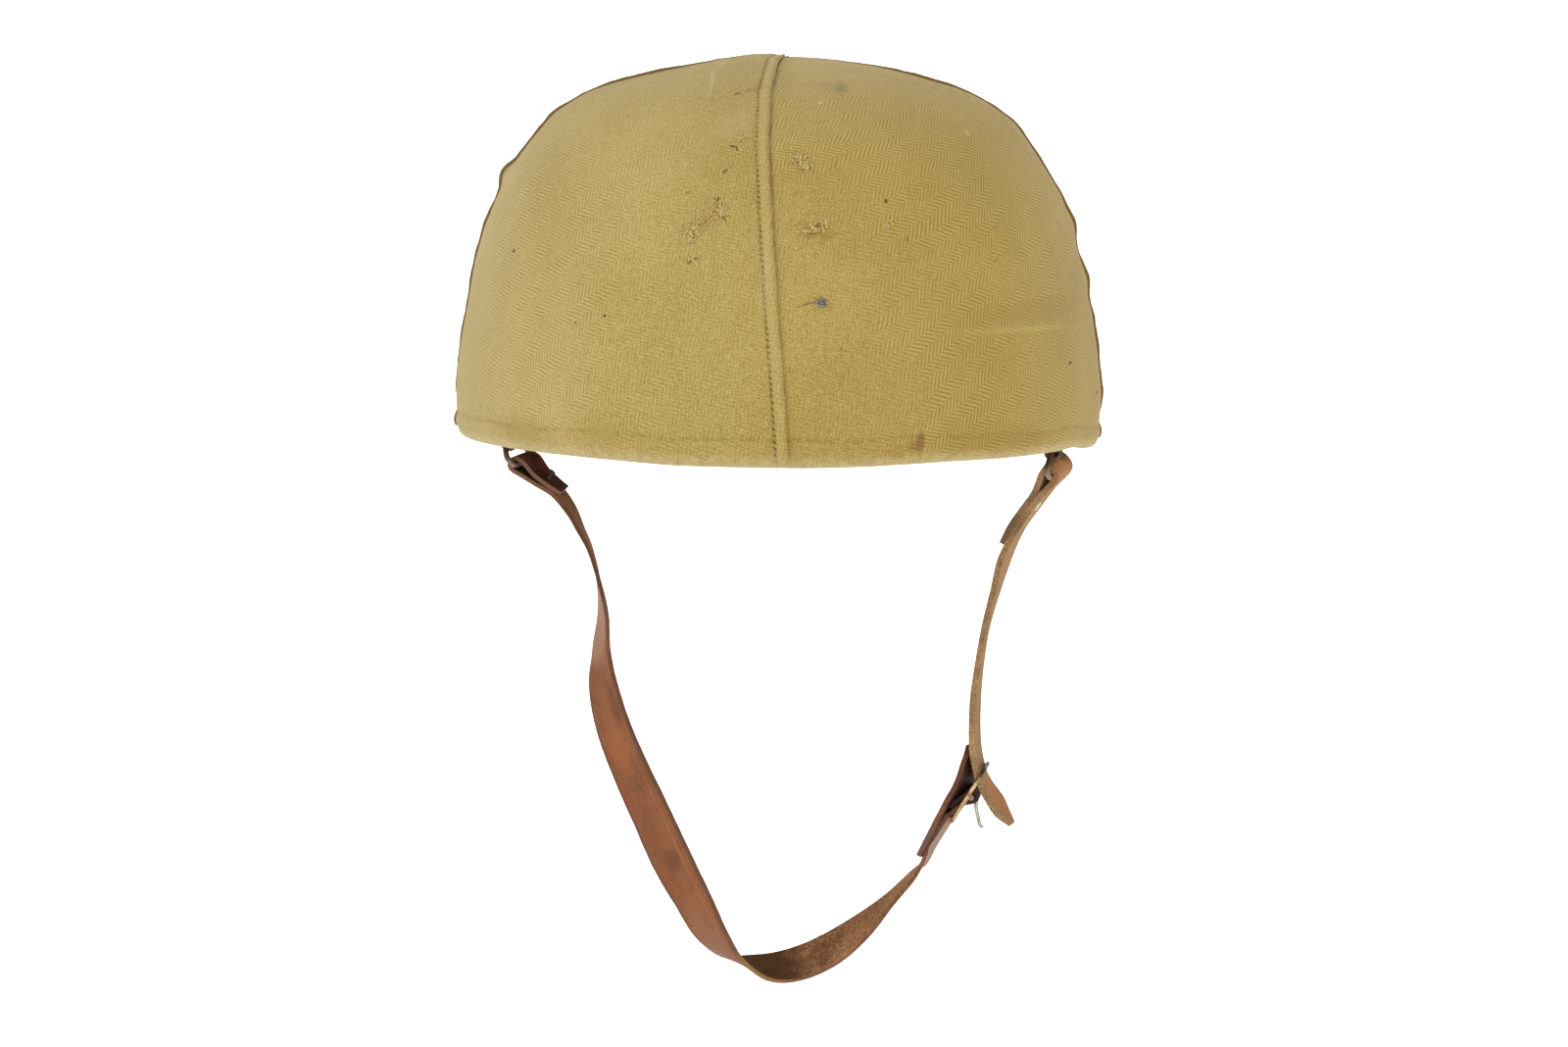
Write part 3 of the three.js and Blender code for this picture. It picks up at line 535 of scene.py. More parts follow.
    # small gathers all along the side seam
    gathers = waver(np.stack([0 * height, 0 * height + side, height], -1), 6.5, 8)
    lift += 0.45 * gathers * hump(fromSide, 0, 7) * topFade
    if not back:
        for x, at, long, broad, tilt, rise in cover["folds"]:
            (c, s), dx, dz = direction(tilt), places[..., 0] - x, height - at
            near, aside = (dx * c + dz * s) / (long / 2), (dz * c - dx * s) / broad
            lift += rise * np.exp(-(near**2) - aside**2)
    lift += 0.34 * waver(places, 42, 9 + side) + 0.14 * waver(places, 15, 12 + side)
    hemWobble = 0.8 * waver(places, 30, 14)
    lift -= 0.22 * hump(height, cover["hemLine"] + hemWobble, 0.8)
    lift += 0.18 * hump(height, 6.3, 2.2) * (1 + waver(places, 11, 15))
    places = places + out * (lift * shaped)[..., None]
    places[..., 2] += eased(share((height - 98) / 30)) * fromTable("crownSag", places[..., 0])
    if not back:
        atRim = share(1 - height / 22) * share((-15 - places[..., 1]) / 30)
        places[..., 2] += atRim * fromTable("rimSag", places[..., 0])
    places[-1] = places[-1].mean(axis=0)
    places[..., 1] += (1 if back else -1) * 0.08
    places[..., 2] -= rimDrop

    onCloth = np.stack([side * fromSeam, np.broadcast_to(climbLength[:, None], fromSeam.shape)], -1)
    panel = addSheetGrid(name, places, {"weave": onCloth, "edges": np.stack([fromSide, height], -1)})
    # the size of the cut piece: its longest row, its longest column and its area
    rowLengths = np.linalg.norm(np.diff(places, axis=1), axis=2).sum(axis=1)
    columnLengths = np.linalg.norm(np.diff(places, axis=0), axis=2).sum(axis=0)
    cut = (rowLengths.max() * mm, columnLengths.max() * mm, sum(polygon.area for polygon in panel.data.polygons))
    startEdit()
    bpy.ops.mesh.remove_doubles(threshold=0.00001)
    if facing < 0:
        bpy.ops.mesh.flip_normals()
    endEdit()
    applyModifier(panel, "SOLIDIFY", thickness=cover["thickness"] * mm, offset=-1, use_even_offset=False)
    smoothShade(panel)
    return panel, cut


weave = {
    "left": {"dark": (152, 127, 60), "light": (197, 177, 116)},
    "right": {"dark": (141, 113, 46), "light": (186, 160, 90)},
    "stripe": 4.65,
    "pitch": 1.4,
    "yarn": 1.05,
    "slope": 32,
    "drift": 5.0,
    "bump": 0.16,
    # painted shade along the side seams, with some dirt
    "seamDirtAndShade": (104, 80, 36),
    "thread": (100, 64, 6),
    "hemShade": (134, 112, 44),
    # the paler lowest edge of the rim
    "paleRimEdge": (196, 178, 128),
    "welt": (206, 186, 122),
    # painted shadow along the welt's edge
    "weltEdgeShadow": (110, 70, 4),
    "stitchLength": 2.15,
    # marks on the front: x, height, half length, half breadth, tilt, softness, colour, strength
    "marks": [
        # rubbed and stained patches, and a painted shade and highlight at a fold
        (20.5, 131, 3.0, 1.7, -30, 0.9, (112, 92, 66), 0.5), (15, 132, 2.4, 1.4, 0, 0.9, (126, 104, 70), 0.25),
        (49.8, 8.2, 1.5, 3.9, -4, 0.7, (112, 82, 52), 0.65), (47.9, 6.4, 2.6, 2.2, 0, 0.9, (134, 100, 56), 0.5),
        (42, 5, 5.0, 2.4, 0, 0.9, (146, 114, 58), 0.3), (-90, 7, 11, 6.0, -8, 0.9, (150, 124, 58), 0.45),
        (-62, 9, 9.0, 5.0, 0, 0.9, (164, 138, 70), 0.35), (80, 8, 16, 4.5, 2, 0.9, (146, 118, 54), 0.3),
        # a brown band of painted shade above the fold at the right, and a painted highlight along its crest
        (90, 54, 20, 3.2, 6, 0.9, (148, 114, 50), 0.25), (86, 46.8, 19, 1.0, 2, 0.9, (200, 176, 108), 0.26),
        (-17, 117, 7, 4.5, 20, 0.9, (196, 178, 134), 0.2), (13, 80.5, 6.5, 3.0, -4, 0.8, (134, 102, 46), 0.35),
        (7, 104, 5.5, 2.8, -38, 0.8, (140, 108, 54), 0.35), (-27, 83, 9, 3.4, 48, 0.9, (150, 122, 60), 0.2),
        (-5.5, 62, 1.8, 12, -3, 0.9, (204, 188, 140), 0.15), (3.5, 60, 1.6, 8, -3, 0.9, (182, 158, 108), 0.12),
        # slits, holes and specks, and two painted highlights
        (-16.6, 128.2, 1.7, 0.4, 24, 0.5, (98, 80, 42), 0.8), (-11, 129.8, 3.4, 0.5, 12, 0.8, (136, 112, 56), 0.55),
        (-17.4, 109.4, 1.3, 0.45, -8, 0.5, (82, 66, 40), 0.9), (-16.0, 108.6, 0.4, 0.9, 12, 0.5, (88, 72, 50), 0.85),
        (-20.0, 100.6, 1.0, 0.45, 38, 0.5, (92, 74, 38), 0.85),
        (-17.8, 102.2, 0.7, 0.3, 50, 0.6, (110, 90, 50), 0.6), (-22.6, 90.9, 1.0, 0.7, 40, 0.5, (86, 62, 26), 0.9),
        (-24.2, 86.4, 3.3, 0.55, 42, 0.5, (148, 92, 44), 0.7),
        # a painted pinkish highlight in the middle of the darned slit
        (-24.9, 86.2, 1.6, 0.35, 42, 0.5, (224, 172, 124), 0.9),
        (-30.6, 79.0, 0.5, 2.4, 14, 0.6, (124, 94, 42), 0.55), (-19.8, 84.6, 0.5, 2.6, 24, 0.6, (120, 92, 40), 0.7),
        (-27.6, 82.6, 1.8, 0.6, 34, 0.6, (126, 96, 44), 0.45), (-31.7, 69.2, 0.75, 0.6, 60, 0.5, (92, 62, 30), 0.9),
        (-30.0, 69.8, 1.6, 0.35, 30, 0.6, (112, 84, 40), 0.7), (6.6, 103.8, 1.6, 0.7, -30, 0.5, (92, 68, 34), 0.8),
        (9.2, 102.6, 0.8, 0.5, -40, 0.5, (96, 58, 34), 0.8), (12.8, 81.6, 0.7, 1.1, 20, 0.5, (120, 72, 30), 0.85),
        (10.4, 79.6, 2.0, 0.35, 0, 0.6, (120, 90, 42), 0.7), (-61, 49.6, 0.55, 0.5, 0, 0.4, (62, 46, 22), 0.95),
        (-71.6, 46.7, 0.45, 0.35, -20, 0.5, (92, 70, 34), 0.85),
        (-96.1, 70.6, 0.6, 0.5, -50, 0.4, (66, 48, 26), 0.95), (-94.1, 69, 0.4, 0.4, 0, 0.5, (90, 70, 36), 0.8),
        (36.4, 91.4, 0.55, 0.7, 30, 0.4, (80, 58, 28), 0.9), (44.2, 78.3, 0.45, 0.95, 15, 0.5, (112, 84, 42), 0.7),
        (21.8, 39.9, 1.0, 0.4, -50, 0.6, (124, 94, 46), 0.5), (105.1, 34.3, 0.55, 0.6, 0, 0.4, (62, 46, 26), 0.95),
        (117.3, 22.2, 0.5, 0.6, 0, 0.4, (80, 60, 34), 0.9), (76, 71, 0.9, 0.5, 20, 0.6, (140, 112, 58), 0.6),
        # the pale stroke at x -26 near the crown is a painted highlight along the crest of a fold
        (101, 84, 0.5, 1.0, 20, 0.6, (136, 110, 60), 0.6), (-26, 132.8, 0.9, 4.4, -4, 0.9, (210, 194, 146), 0.28),
        (-23, 139.6, 2.8, 1.0, 45, 0.9, (206, 190, 142), 0.22), (10.2, 55.6, 2.6, 0.3, 14, 0.5, (96, 82, 58), 0.75),
        (6.6, 54.4, 0.9, 0.3, -10, 0.5, (110, 88, 54), 0.7), (-33, 93, 0.8, 0.4, 30, 0.6, (130, 104, 52), 0.6),
        (33, 50, 1.0, 0.35, 30, 0.7, (196, 174, 104), 0.35), (13, 125.5, 0.7, 0.5, 40, 0.6, (206, 190, 130), 0.6),
        (66, 116, 1.4, 0.4, -50, 0.6, (208, 190, 128), 0.5), (-2.6, 24, 0.5, 0.9, 0, 0.6, (120, 96, 44), 0.6),
    ],
}


def makeCloth(name, front):
    newMaterial(name)
    where, flat, edge = objectPlace(), split(mapPlace("weave")), split(mapPlace("edges"))
    across, climb, fromSide, height = [times(value, 1 / mm) for value in (flat[0], flat[1], edge[0], edge[1])]
    fromSeam = calc("ABSOLUTE", across)
    worn, patchy, mottle = cloud(where, 38), cloud(where, 9), cloud(where, 55, 3.0, 0.55)
    slub = cloud(where, 2.6, 3.0, 0.6)

    # herringbone: stripes that lie across the panel at a slope, each with its twill turned the other way
    c, s = direction(weave["slope"])
    along, over = plus(times(across, c), times(climb, s)), less(times(climb, c), times(across, s))
    over = plus(over, swing(cloud(where, 26, 1.0), weave["drift"]))
    zigzag = calc("PINGPONG", over, weave["stripe"])
    stripeNumber = calc("FLOOR", calc("DIVIDE", over, weave["stripe"]))
    wave = 2 * math.pi * direction(45)[0]
    twill = times(plus(along, zigzag), wave / weave["pitch"])
    rib = calc("SINE", plus(twill, times(stripeNumber, math.pi)))
    bead = calc("SINE", times(less(along, zigzag), wave / weave["yarn"]))
    # it shows best away from the seam, and near the top on the right
    crispRight = calc("MAXIMUM", ramp(fromSeam, 12, 66, 0.3, 1.0), ramp(height, 76, 108, 0.0, 0.9))
    crispLeft = ramp(fromSeam, 20, 95, 0.38, 0.8)
    crisp = addNode("ShaderNodeMix", {0: ramp(across, 1.0, -1.0), 2: crispRight, 3: crispLeft}).outputs[0]
    crisp = times(crisp, ramp(worn, 0.3, 0.6, 0.7, 1.05), ramp(patchy, 0.3, 0.65, 0.7, 1.15))
    grainy = less(1.25, crisp)
    fuzz = swing(cloud(where, 0.7, 2.0, 0.7), calc("MULTIPLY_ADD", grainy, 0.85, 0.25))
    ribShown = times(rib, crisp)
    beadShown = times(bead, calc("MULTIPLY_ADD", rib, 0.5, 0.5), grainy)
    tone = plus(
        calc("MULTIPLY_ADD", ribShown, 0.4, 0.5), times(beadShown, 0.27), times(fuzz, 2.0),
        swing(slub, 0.3), swing(mottle, 0.6),
    )
    tone = addNode("ShaderNodeClamp", {0: tone, 1: -0.2, 2: 1.3}).outputs[0]
    leftTint, rightTint = [mixColours(tone, weave[side]["dark"], weave[side]["light"]) for side in ("left", "right")]
    colour = mixColours(ramp(split(where)[0], 0.09, -0.1), rightTint, leftTint)
    relief = plus(times(ribShown, 0.45), times(beadShown, 0.35), times(fuzz, 2.2), times(slub, 0.5))

    # the side seams are darkened, partly by dirt and partly as painted shade, and the hem shows as a broken line of
    # painted shade
    seamGrimeAndShade = ramp(fromSide, 6.0, 1.4, 0.0, 0.85)
    hemWander = calc("MULTIPLY_ADD", cloud(where, 34), 5.0, cover["hemLine"] - 2.5)
    hemShade = times(ramp(calc("ABSOLUTE", less(height, hemWander)), 1.3, 0.1), ramp(slub, 0.42, 0.6, 0.0, 0.5))
    # the rim's lowest edge is painted paler, in patches
    paleRimEdge = times(ramp(height, 5.5, 1.0), ramp(slub, 0.3, 0.7, 0.25, 0.7))

    # the welt is painted a little paler, and a painted shadow lies along its edge, strongest in the upper part
    onWelt = times(ramp(across, -4.3, -3.3), ramp(across, -0.4, -1.9, 0.0, 0.2))
    weltEdgeShadow = times(
        ramp(across, 1.8, 0.4), ramp(across, -1.0, 0.2), ramp(height, 70, 112, 0.22, 0.6),
        ramp(patchy, 0.32, 0.6, 0.45, 1.0), ramp(height, 142, 134, 0.2, 1.0),
    )

    # the row of stitches that holds the lapped seam down, on the left panels only
    beside = plus(across, cover["lapWidth"])
    fromRow = calc("ABSOLUTE", beside)
    pricks = calc("SINE", times(calc("MULTIPLY_ADD", beside, 0.7, climb), 2 * math.pi / weave["stitchLength"]))
    stitch = times(ramp(fromRow, 0.62, 0.28), ramp(pricks, 0.25, 0.8), ramp(patchy, 0.35, 0.6, 0.45, 1.0))
    puff = times(ramp(fromRow, 2.6, 0.4), pricks)
    relief = less(less(relief, times(stitch, 1.6)), times(puff, 0.35))

    # mix in the seams' dirt and painted shade, the hem's painted shade, the pale rim edge, the pale welt, the
    # painted shadow under the welt's edge and the stitches
    for amount, tint in (
        (seamGrimeAndShade, "seamDirtAndShade"), (hemShade, "hemShade"), (paleRimEdge, "paleRimEdge"), (onWelt, "welt"), (weltEdgeShadow, "weltEdgeShadow"),
        (times(stitch, 0.8), "thread"),
    ):
        colour = mixColours(amount, colour, weave[tint])

    ragged = calc("MULTIPLY_ADD", fuzz, 0.8, swing(slub, 1.6))
    # marks of colour on the front; a few are painted shade or highlights at folds and slits
    for x, at, long, broad, tilt, soft, tint, strength in weave["marks"] if front else []:
        spot = (x * mm, 0, (at - rimDrop) * mm), (long * mm, 1000, broad * mm), (0, -math.radians(tilt), 0)
        reach = plus(spotReach(where, *spot), ragged)
        colour = mixColours(ramp(reach, 1.0 + soft * 0.7, 1.0 - soft * 0.8, 0.0, strength), colour, tint)
    sheen = {"Sheen_Weight": 0.16, "Sheen_Roughness": 0.55}
    return finishMaterial(colour, relief, weave["bump"], Roughness=0.96, Specular_IOR_Level=0.12, **sheen)


leather = {
    # finish: roughness, lumps and bump in millimetres, fibrous, shine
    # tints: light, deep, stain
    # patches: along, across, half length, half breadth, colour, strength
    "brownGrain": {
        "finish": (0.58, 1.2, 0.12, False, 0.15),
        "tints": ((154, 99, 66), (114, 71, 47), (88, 60, 46)),
        "patches": [
            # the pale patch at 98 is painted sheen where the strap turns towards the light
            (98, 3, 15, 12, (172, 134, 108), 0.45), (131, -5, 8, 2.4, (84, 54, 40), 0.45),
            (193, -0.5, 5.2, 3.6, (92, 58, 44), 0.45), (148, 1, 9, 5, (176, 106, 64), 0.35),
            (165, 6.6, 9, 1.6, (150, 74, 50), 0.4), (185, 3, 14, 4, (116, 72, 50), 0.4),
            (192, -5, 46, 0.5, (186, 120, 80), 0.25), (228, 2, 14, 8, (150, 116, 94), 0.25),
            # the pale patch at 336 is painted sheen on the grain seen edge-on below the buckle
            (336, 0, 14, 12, (152, 126, 108), 0.5), (-2, 0, 25, 20, (66, 31, 28), 0.95),
            # the patch at 10 is a painted reddish highlight on the tab, and the one at 366 is painted shade on the
            # strap's end, between the frame and the flap
            (10, 2.5, 6, 4, (112, 38, 36), 0.55), (366, 0, 13, 20, (60, 40, 30), 0.8),
        ],
    },
    "brownFlesh": {
        "finish": (0.88, 1.3, 0.35, True, 0.06),
        "tints": ((188, 140, 100), (114, 78, 52), (80, 52, 36)),
        "patches": [
            # the patch at 251 is painted shade where the flesh side faces down at the twist
            (251, 0, 20, 20, (76, 50, 34), 0.85), (26, 0, 16, 20, (60, 48, 30), 0.85),
            # the patch at 374 is painted shade on the strap's end, between the frame and the flap
            (68, 0, 22, 20, (142, 96, 72), 0.6), (374, 0, 14, 20, (58, 38, 30), 0.9),
        ],
    },
    "brownCutEdge": {
        "finish": (0.7, 0.9, 0.15, True, 0.15),
        "tints": ((140, 98, 72), (96, 66, 48), (62, 44, 35)),
        "patches": [
            (10, 0, 13, 40, (126, 94, 76), 0.8), (34, 0, 13, 40, (122, 92, 70), 0.6),
            (72, 0, 22, 40, (84, 58, 44), 0.7), (165, 0, 56, 40, (108, 76, 58), 0.7),
            # the patch at 375 is painted shade on the strap's end, between the frame and the flap
            (375, 0, 16, 40, (50, 33, 27), 0.9), (247, 0, 13, 40, (150, 114, 68), 0.75),
        ],
    },
    "tanGrain": {
        "finish": (0.75, 1.4, 0.2, True, 0.06),
        "tints": ((174, 138, 96), (134, 102, 68), (112, 84, 60)),
        "patches": [
            (150, 0, 11, 20, (182, 126, 84), 0.6), (178, 0, 13, 20, (74, 58, 50), 0.8),
            (13, 1, 12, 4.8, (178, 114, 76), 0.75), (150, 8.3, 16, 0.9, (96, 78, 64), 0.7),
            # the patch at 157 is painted shade on the top of the fold, under the helmet's rim
            (157, 5, 7, 6, (84, 50, 36), 0.75),
        ],
    },
    "tanFlesh": {
        "finish": (0.88, 1.3, 0.3, True, 0.1),
        "tints": ((200, 168, 116), (154, 122, 78), (108, 82, 60)), "patches": [],
    },
    "tanCutEdge": {
        "finish": (0.8, 0.8, 0.22, True, 0.1),
        "tints": ((184, 148, 108), (122, 92, 64), (112, 74, 54)),
        "patches": [
            (187, 0, 9, 40, (84, 62, 54), 0.6), (172, 0, 9, 40, (110, 82, 64), 0.4),
            (150, 0, 9, 40, (140, 100, 72), 0.5), (121, 3, 6, 40, (112, 84, 62), 0.4),
        ],
    },
    # dark leather, painted darker still as the shade that falls between the flap and the buckle
    "flapLeatherAndShade": {
        "finish": (0.6, 1.6, 0.15, False, 0.15),
        "tints": ((98, 60, 47), (52, 35, 29), (38, 32, 28)),
        "patches": [(24, 0, 10, 9, (84, 46, 36), 0.5)],
    },
    "flapCutEdge": {
        "finish": (0.7, 0.9, 0.15, True, 0.15),
        "tints": ((144, 92, 72), (94, 60, 47), (68, 47, 40)),
        "patches": [(0, 0, 14, 40, (112, 90, 80), 0.6), (50, 0, 5, 40, (64, 46, 40), 0.6)],
    },
}


def makeLeather(name):
    look = leather[name]
    roughness, lumps, bumpMm, fibrous, shine = look["finish"]
    light, deep, stain = look["tints"]
    newMaterial(name)
    where, flat = objectPlace(), mapPlace("strap")
    fine, speckle = cloud(where, lumps, 4.0, 0.65), cloud(where, 0.55, 2.0, 0.6)
    streaks = cloud(flat, 1.8, 3.0, 0.6, (0.3, 1.0, 1.0))
    tone = plus(
        0.5, swing(cloud(where, 22, 3.0, 0.6), 1.2), swing(fine, 2.0 if fibrous else 1.0),
        swing(speckle, 2.4 if fibrous else 1.0), swing(streaks, 0.5),
    )
    tone = addNode("ShaderNodeClamp", {0: tone}).outputs[0]
    stains = ramp(cloud(where, 14), 0.6, 0.78, 0.0, 0.45)
    colour = mixColours(stains, mixColours(tone, deep, light), stain)
    ragged = swing(cloud(where, 4, 3.0, 0.6), 0.9)
    # patches of colour along the strap, a few of them painted sheen, highlight or shade
    for length, across, long, wide, tint, strength in look["patches"]:
        reach = plus(spotReach(flat, (length * mm, across * mm, 0), (long * mm, wide * mm, 1)), ragged)
        colour = mixColours(ramp(reach, 1.3, 0.6, 0.0, strength), colour, tint)
    relief = plus(fine, times(speckle, 0.5))
    if not fibrous:
        # a burnished border runs along each edge
        aside = calc("ABSOLUTE", times(split(flat)[1], 1 / mm))
        colour = mixColours(ramp(aside, 7.2, 7.9, 0.0, 0.6), colour, (84, 66, 56))
        pores = addNode("ShaderNodeTexVoronoi", {"Vector": where, "Scale": 1 / (0.9 * mm)}).outputs[0]
        relief = plus(relief, times(pores, 0.35))
    rough = plus(roughness, swing(fine, 0.35))
    return finishMaterial(colour, relief, bumpMm, Roughness=rough, Specular_IOR_Level=shine)


strapSizes = {"width": 16.0, "barRadius": 1.1}
overBar = 2.05  # how far from the bar's middle the fold at the buckle runs
leftBar, leftRear = (-96.3, -10.4), (5.1, 1.4)
rightBar, rightRear = (105.2, -10.0), (6.1, 3.1)
buckle = {
    "centre": (77.0, -134.1), "lean": 30.5, "yaw": 7.0, "length": 25.6, "width": 23.0, "rail": 2.2, "corner": 3.4,
    "flatness": 0.72, "loopOut": -1.3,
}
buckleRear = (strapSizes["width"] * direction(buckle["yaw"])[1], 0)
strapRear = (4.6, 0)  # below the buckle the strap is turned a little more than the frame


def around(bar, angle, radius):
    c, s = direction(angle)
    return (bar[0] + radius * c, bar[1] + radius * s)


def atBuckle(along, out):
    c, s = direction(buckle["lean"])
    return (buckle["centre"][0] + s * along + c * out, buckle["centre"][1] + c * along - s * out)


def squareTo(bar, *runs, width=strapSizes["width"], slotted=0):
    # rows that run square to a bar, from runs that begin with the rear edge's shift and go on with points:
    # x, y, height, rear edge right, rear edge up, width, slotted
    made = []
    for rear, *points in runs:
        depth = math.sqrt(strapSizes["width"] ** 2 - rear[0] ** 2 - rear[1] ** 2)
        for x, z in points:
            y = -((x - bar[0]) * rear[0] + (z - bar[1]) * rear[1]) / depth
            made.append((x, y, z, *rear, width, slotted))
    return made


def plainRows(rows):
    return [(*row, strapSizes["width"], 0)[:6] + (0,) for row in rows]


longStrap = {
    "rows": squareTo(
        leftBar, ((2.9, 0.5), (-80.5, -20.9)), ((3.6, 0.8), (-84.8, -17.9)), ((4.4, 1.1), (-89.5, -14.1)),
        (leftRear, (-93.2, -9.5), *[around(leftBar, angle, 2.3) for angle in (95, 165, 235)], (-94.0, -14.4)),
        ((4.6, 1.0), (-89.4, -17.3)), ((3.4, 0.7), (-83.3, -21.4)),
    ) + plainRows([
        (-77.4, -5.6, -28.6, 1.7, 0.4), (-73.6, -7.2, -35.5, 0.6, 0), (-69.9, -8.4, -43.0, -0.4, 0),
        (-66.6, -10, -54.0, -1.2, 0), (-64.7, -13, -66.5, -3.4, 0), (-64.9, -17, -80.0, -6.0, 0),
        (-63.8, -21, -93.0, -9.6, -1.5, 17), (-59.2, -25, -108.5, -11.6, -3.6, 17),
        (-52.2, -28, -124.5, -12.2, -4.9, 17), (-44.3, -30, -140.5, -12.8, -5.3, 17),
        (-36.5, -31, -156.8, -13.0, -5.8, 17), (-28.7, -30, -171.2, -11.6, -6.0, 17),
        (-21.5, -28, -184.8, -9.4, -5.6, 17), (-13.5, -23, -194.7, -5.2, -2.4, 17),
        (-2.0, -17, -199.5, -4.2, 5.8, 16.5), (10.0, -12, -199.0, -4.6, 8.8), (22.5, -8, -194.2, -5.2, 8.2),
        (34.5, -4, -186.0, -4.3, 5.2), (45.5, -1, -175.7, -1.2, 1.4), (54.1, 1, -166.7, 0.2, 0.4),
        (atBuckle(-33, -2.3)[0], 1.8, atBuckle(-33, -2.3)[1], 2.6, 0.2),
    ]) + squareTo(
        buckle["centre"],
        (strapRear, atBuckle(-26, -2.6), atBuckle(-19, -2.7), atBuckle(-12.5, -2.75), atBuckle(-9.4, -2.6)),
    ) + squareTo(
        buckle["centre"],
        (buckleRear, atBuckle(-6, -2.1), atBuckle(-3.4, -0.9), atBuckle(-1.4, 1.25), atBuckle(0, overBar - 0.1),
         atBuckle(1.7, 1.7), atBuckle(overBar, 0), atBuckle(1.7, -1.7), atBuckle(0, -overBar)), slotted=1,
    ) + squareTo(buckle["centre"], ((3.6, 0), atBuckle(-4, -3.1), atBuckle(-7.5, -3.6))),
    "slotWidth": 4.6,
    "thickness": 1.6,
    "ragged": 0.18,
}

shortStrap = {
    "rows": plainRows([
        (92.2, 0, -145.2, 4.4, 0.5, 2.5), (90.4, 0, -143.0, 4.6, 0.5, 8), (87.9, 0, -139.8, 4.8, 0.5, 14.5),
        (85.9, 0, -136.8, 5.0, 0.4), (82.9, 0, -132.4, 4.4, 0.2), (80.4, 0, -128.0, 3.6, 0),
        (78.9, 0, -123.0, 3.2, 0), (77.5, 0.4, -115.5, 3.1, 0), (77.1, 1.0, -106.0, 3.0, 0),
        (77.3, 1.8, -96.0, 2.8, 0), (78.6, 2.9, -84.0, 2.2, 0), (80.6, 4.1, -70.5, 2.1, 0),
        (84.2, 5.1, -56.0, 3.1, 0), (87.4, 5.7, -44.0, 4.4, 0.3), (92.4, 5.5, -33.2, 4.0, 0.8),
        (97.6, 4.4, -25.0, 4.6, 1.2),
    ]) + squareTo(
        rightBar, (rightRear, (102.6, -17.8), around(rightBar, -35, 3.0)), ((6.1, 3.3), around(rightBar, 30, 3.0)),
        ((4.9, 5.0), around(rightBar, 95, 3.8)), ((4.9, 5.2), around(rightBar, 150, 3.3)),
        (rightRear, (101.6, -13.4), (100.6, -16.4), (98.4, -20.2)),
    ) + plainRows([(95.6, 4.8, -23.7, 4.6, 1.2), (90.6, 5.9, -31.2, 4.0, 0.8), (87.2, 6.3, -38.3, 3.4, 0.6)]),
    "thickness": 2.35,
    "ragged": 0.42,
}

flapRows = [
    # along, out, rear edge's shift, width
    (-31, -4.3, 3.0, 17), (-24.5, -4.3, 3.8, 21), (-18, -4.3, 4.4, 24), (-13, -4.4, 5.0, 24), (-9, -4.3, 5.6, 24),
    (-4, -4.3, 6.2, 24), (1, -4.3, 6.6, 23), (6, -5.1, 7.0, 21), (10.5, -7.9, 6.2, 14.5), (13.5, -10.0, 4.4, 7.5),
    (15.2, -11.2, 3.0, 2.4),
]
backing = {
    "rows": [
        row for along, out, rear, width in flapRows
        for row in squareTo(buckle["centre"], ((rear, 0), atBuckle(along, out)), width=width)
    ],
    "thickness": 2.0,
    "ragged": 0.2,
}


def makeStrap(name, plan):
    rows, columns = np.array(plan["rows"], float), 17
    chords = np.linalg.norm(np.diff(rows[:, :3], axis=0), axis=1)
    stops = [0.0]
    for i, chord in enumerate(chords):
        steps = max(4, int(chord / 1.1))
        stops += [(i + (k + 1) / steps) / len(chords) for k in range(steps)]
    made = alongTable(rows, np.array(stops))
    middle, width, slotted = made[:, :3], made[:, 5], made[:, 6] > 0.5
    run = unit(np.gradient(middle, axis=0))
    back = np.stack([made[:, 3], made[:, 3] * 0, made[:, 4]], -1) / strapSizes["width"]
    back[:, 1] = np.sqrt(share(1 - back[:, 0] ** 2 - back[:, 2] ** 2))
    back = unit(back - run * np.sum(back * run, axis=1, keepdims=True))
    length = lengthAlong(middle)
    across = np.linspace(-0.5, 0.5, columns)
    aside = width[:, None] * across[None, :]
    places = middle[:, None, :] + back[:, None, :] * aside[..., None]
    # worn edges are never quite straight
    wear = waver(places, 5, 21) * 0.6 + waver(places, 1.8, 22) * 0.4
    outwards = np.sign(across) * (np.abs(across) > 0.49)
    places = places + back[:, None, :] * (wear * outwards * plan["ragged"])[..., None]
    face = np.cross(run, back)
    places = places + face[:, None, :] * (0.25 * waver(places, 18, 23))[..., None] * 0.6
    places[..., 2] -= rimDrop
    uv = np.stack([np.broadcast_to(length[:, None], aside.shape), aside], -1)
    strap = addSheetGrid(name, places, {"strap": uv})
    if slotted.any():
        def inSlot(polygon):
            row, column = divmod(min(polygon.vertices), columns)
            near = abs(aside[row, column : column + 2]).max() < plan["slotWidth"] / 2
            return near and slotted[row] and slotted[row + 1]

        choose(strap, "FACE", inSlot)
        bpy.ops.mesh.delete(type="FACE")
        endEdit()
    addSlots(strap, 3)
    applyModifier(
        strap, "SOLIDIFY", thickness=plan["thickness"] * mm, offset=0, material_offset=1, material_offset_rim=2
    )
    roundEdges(strap, 0.45, 3, 50)
    return smoothShade(strap, 40)


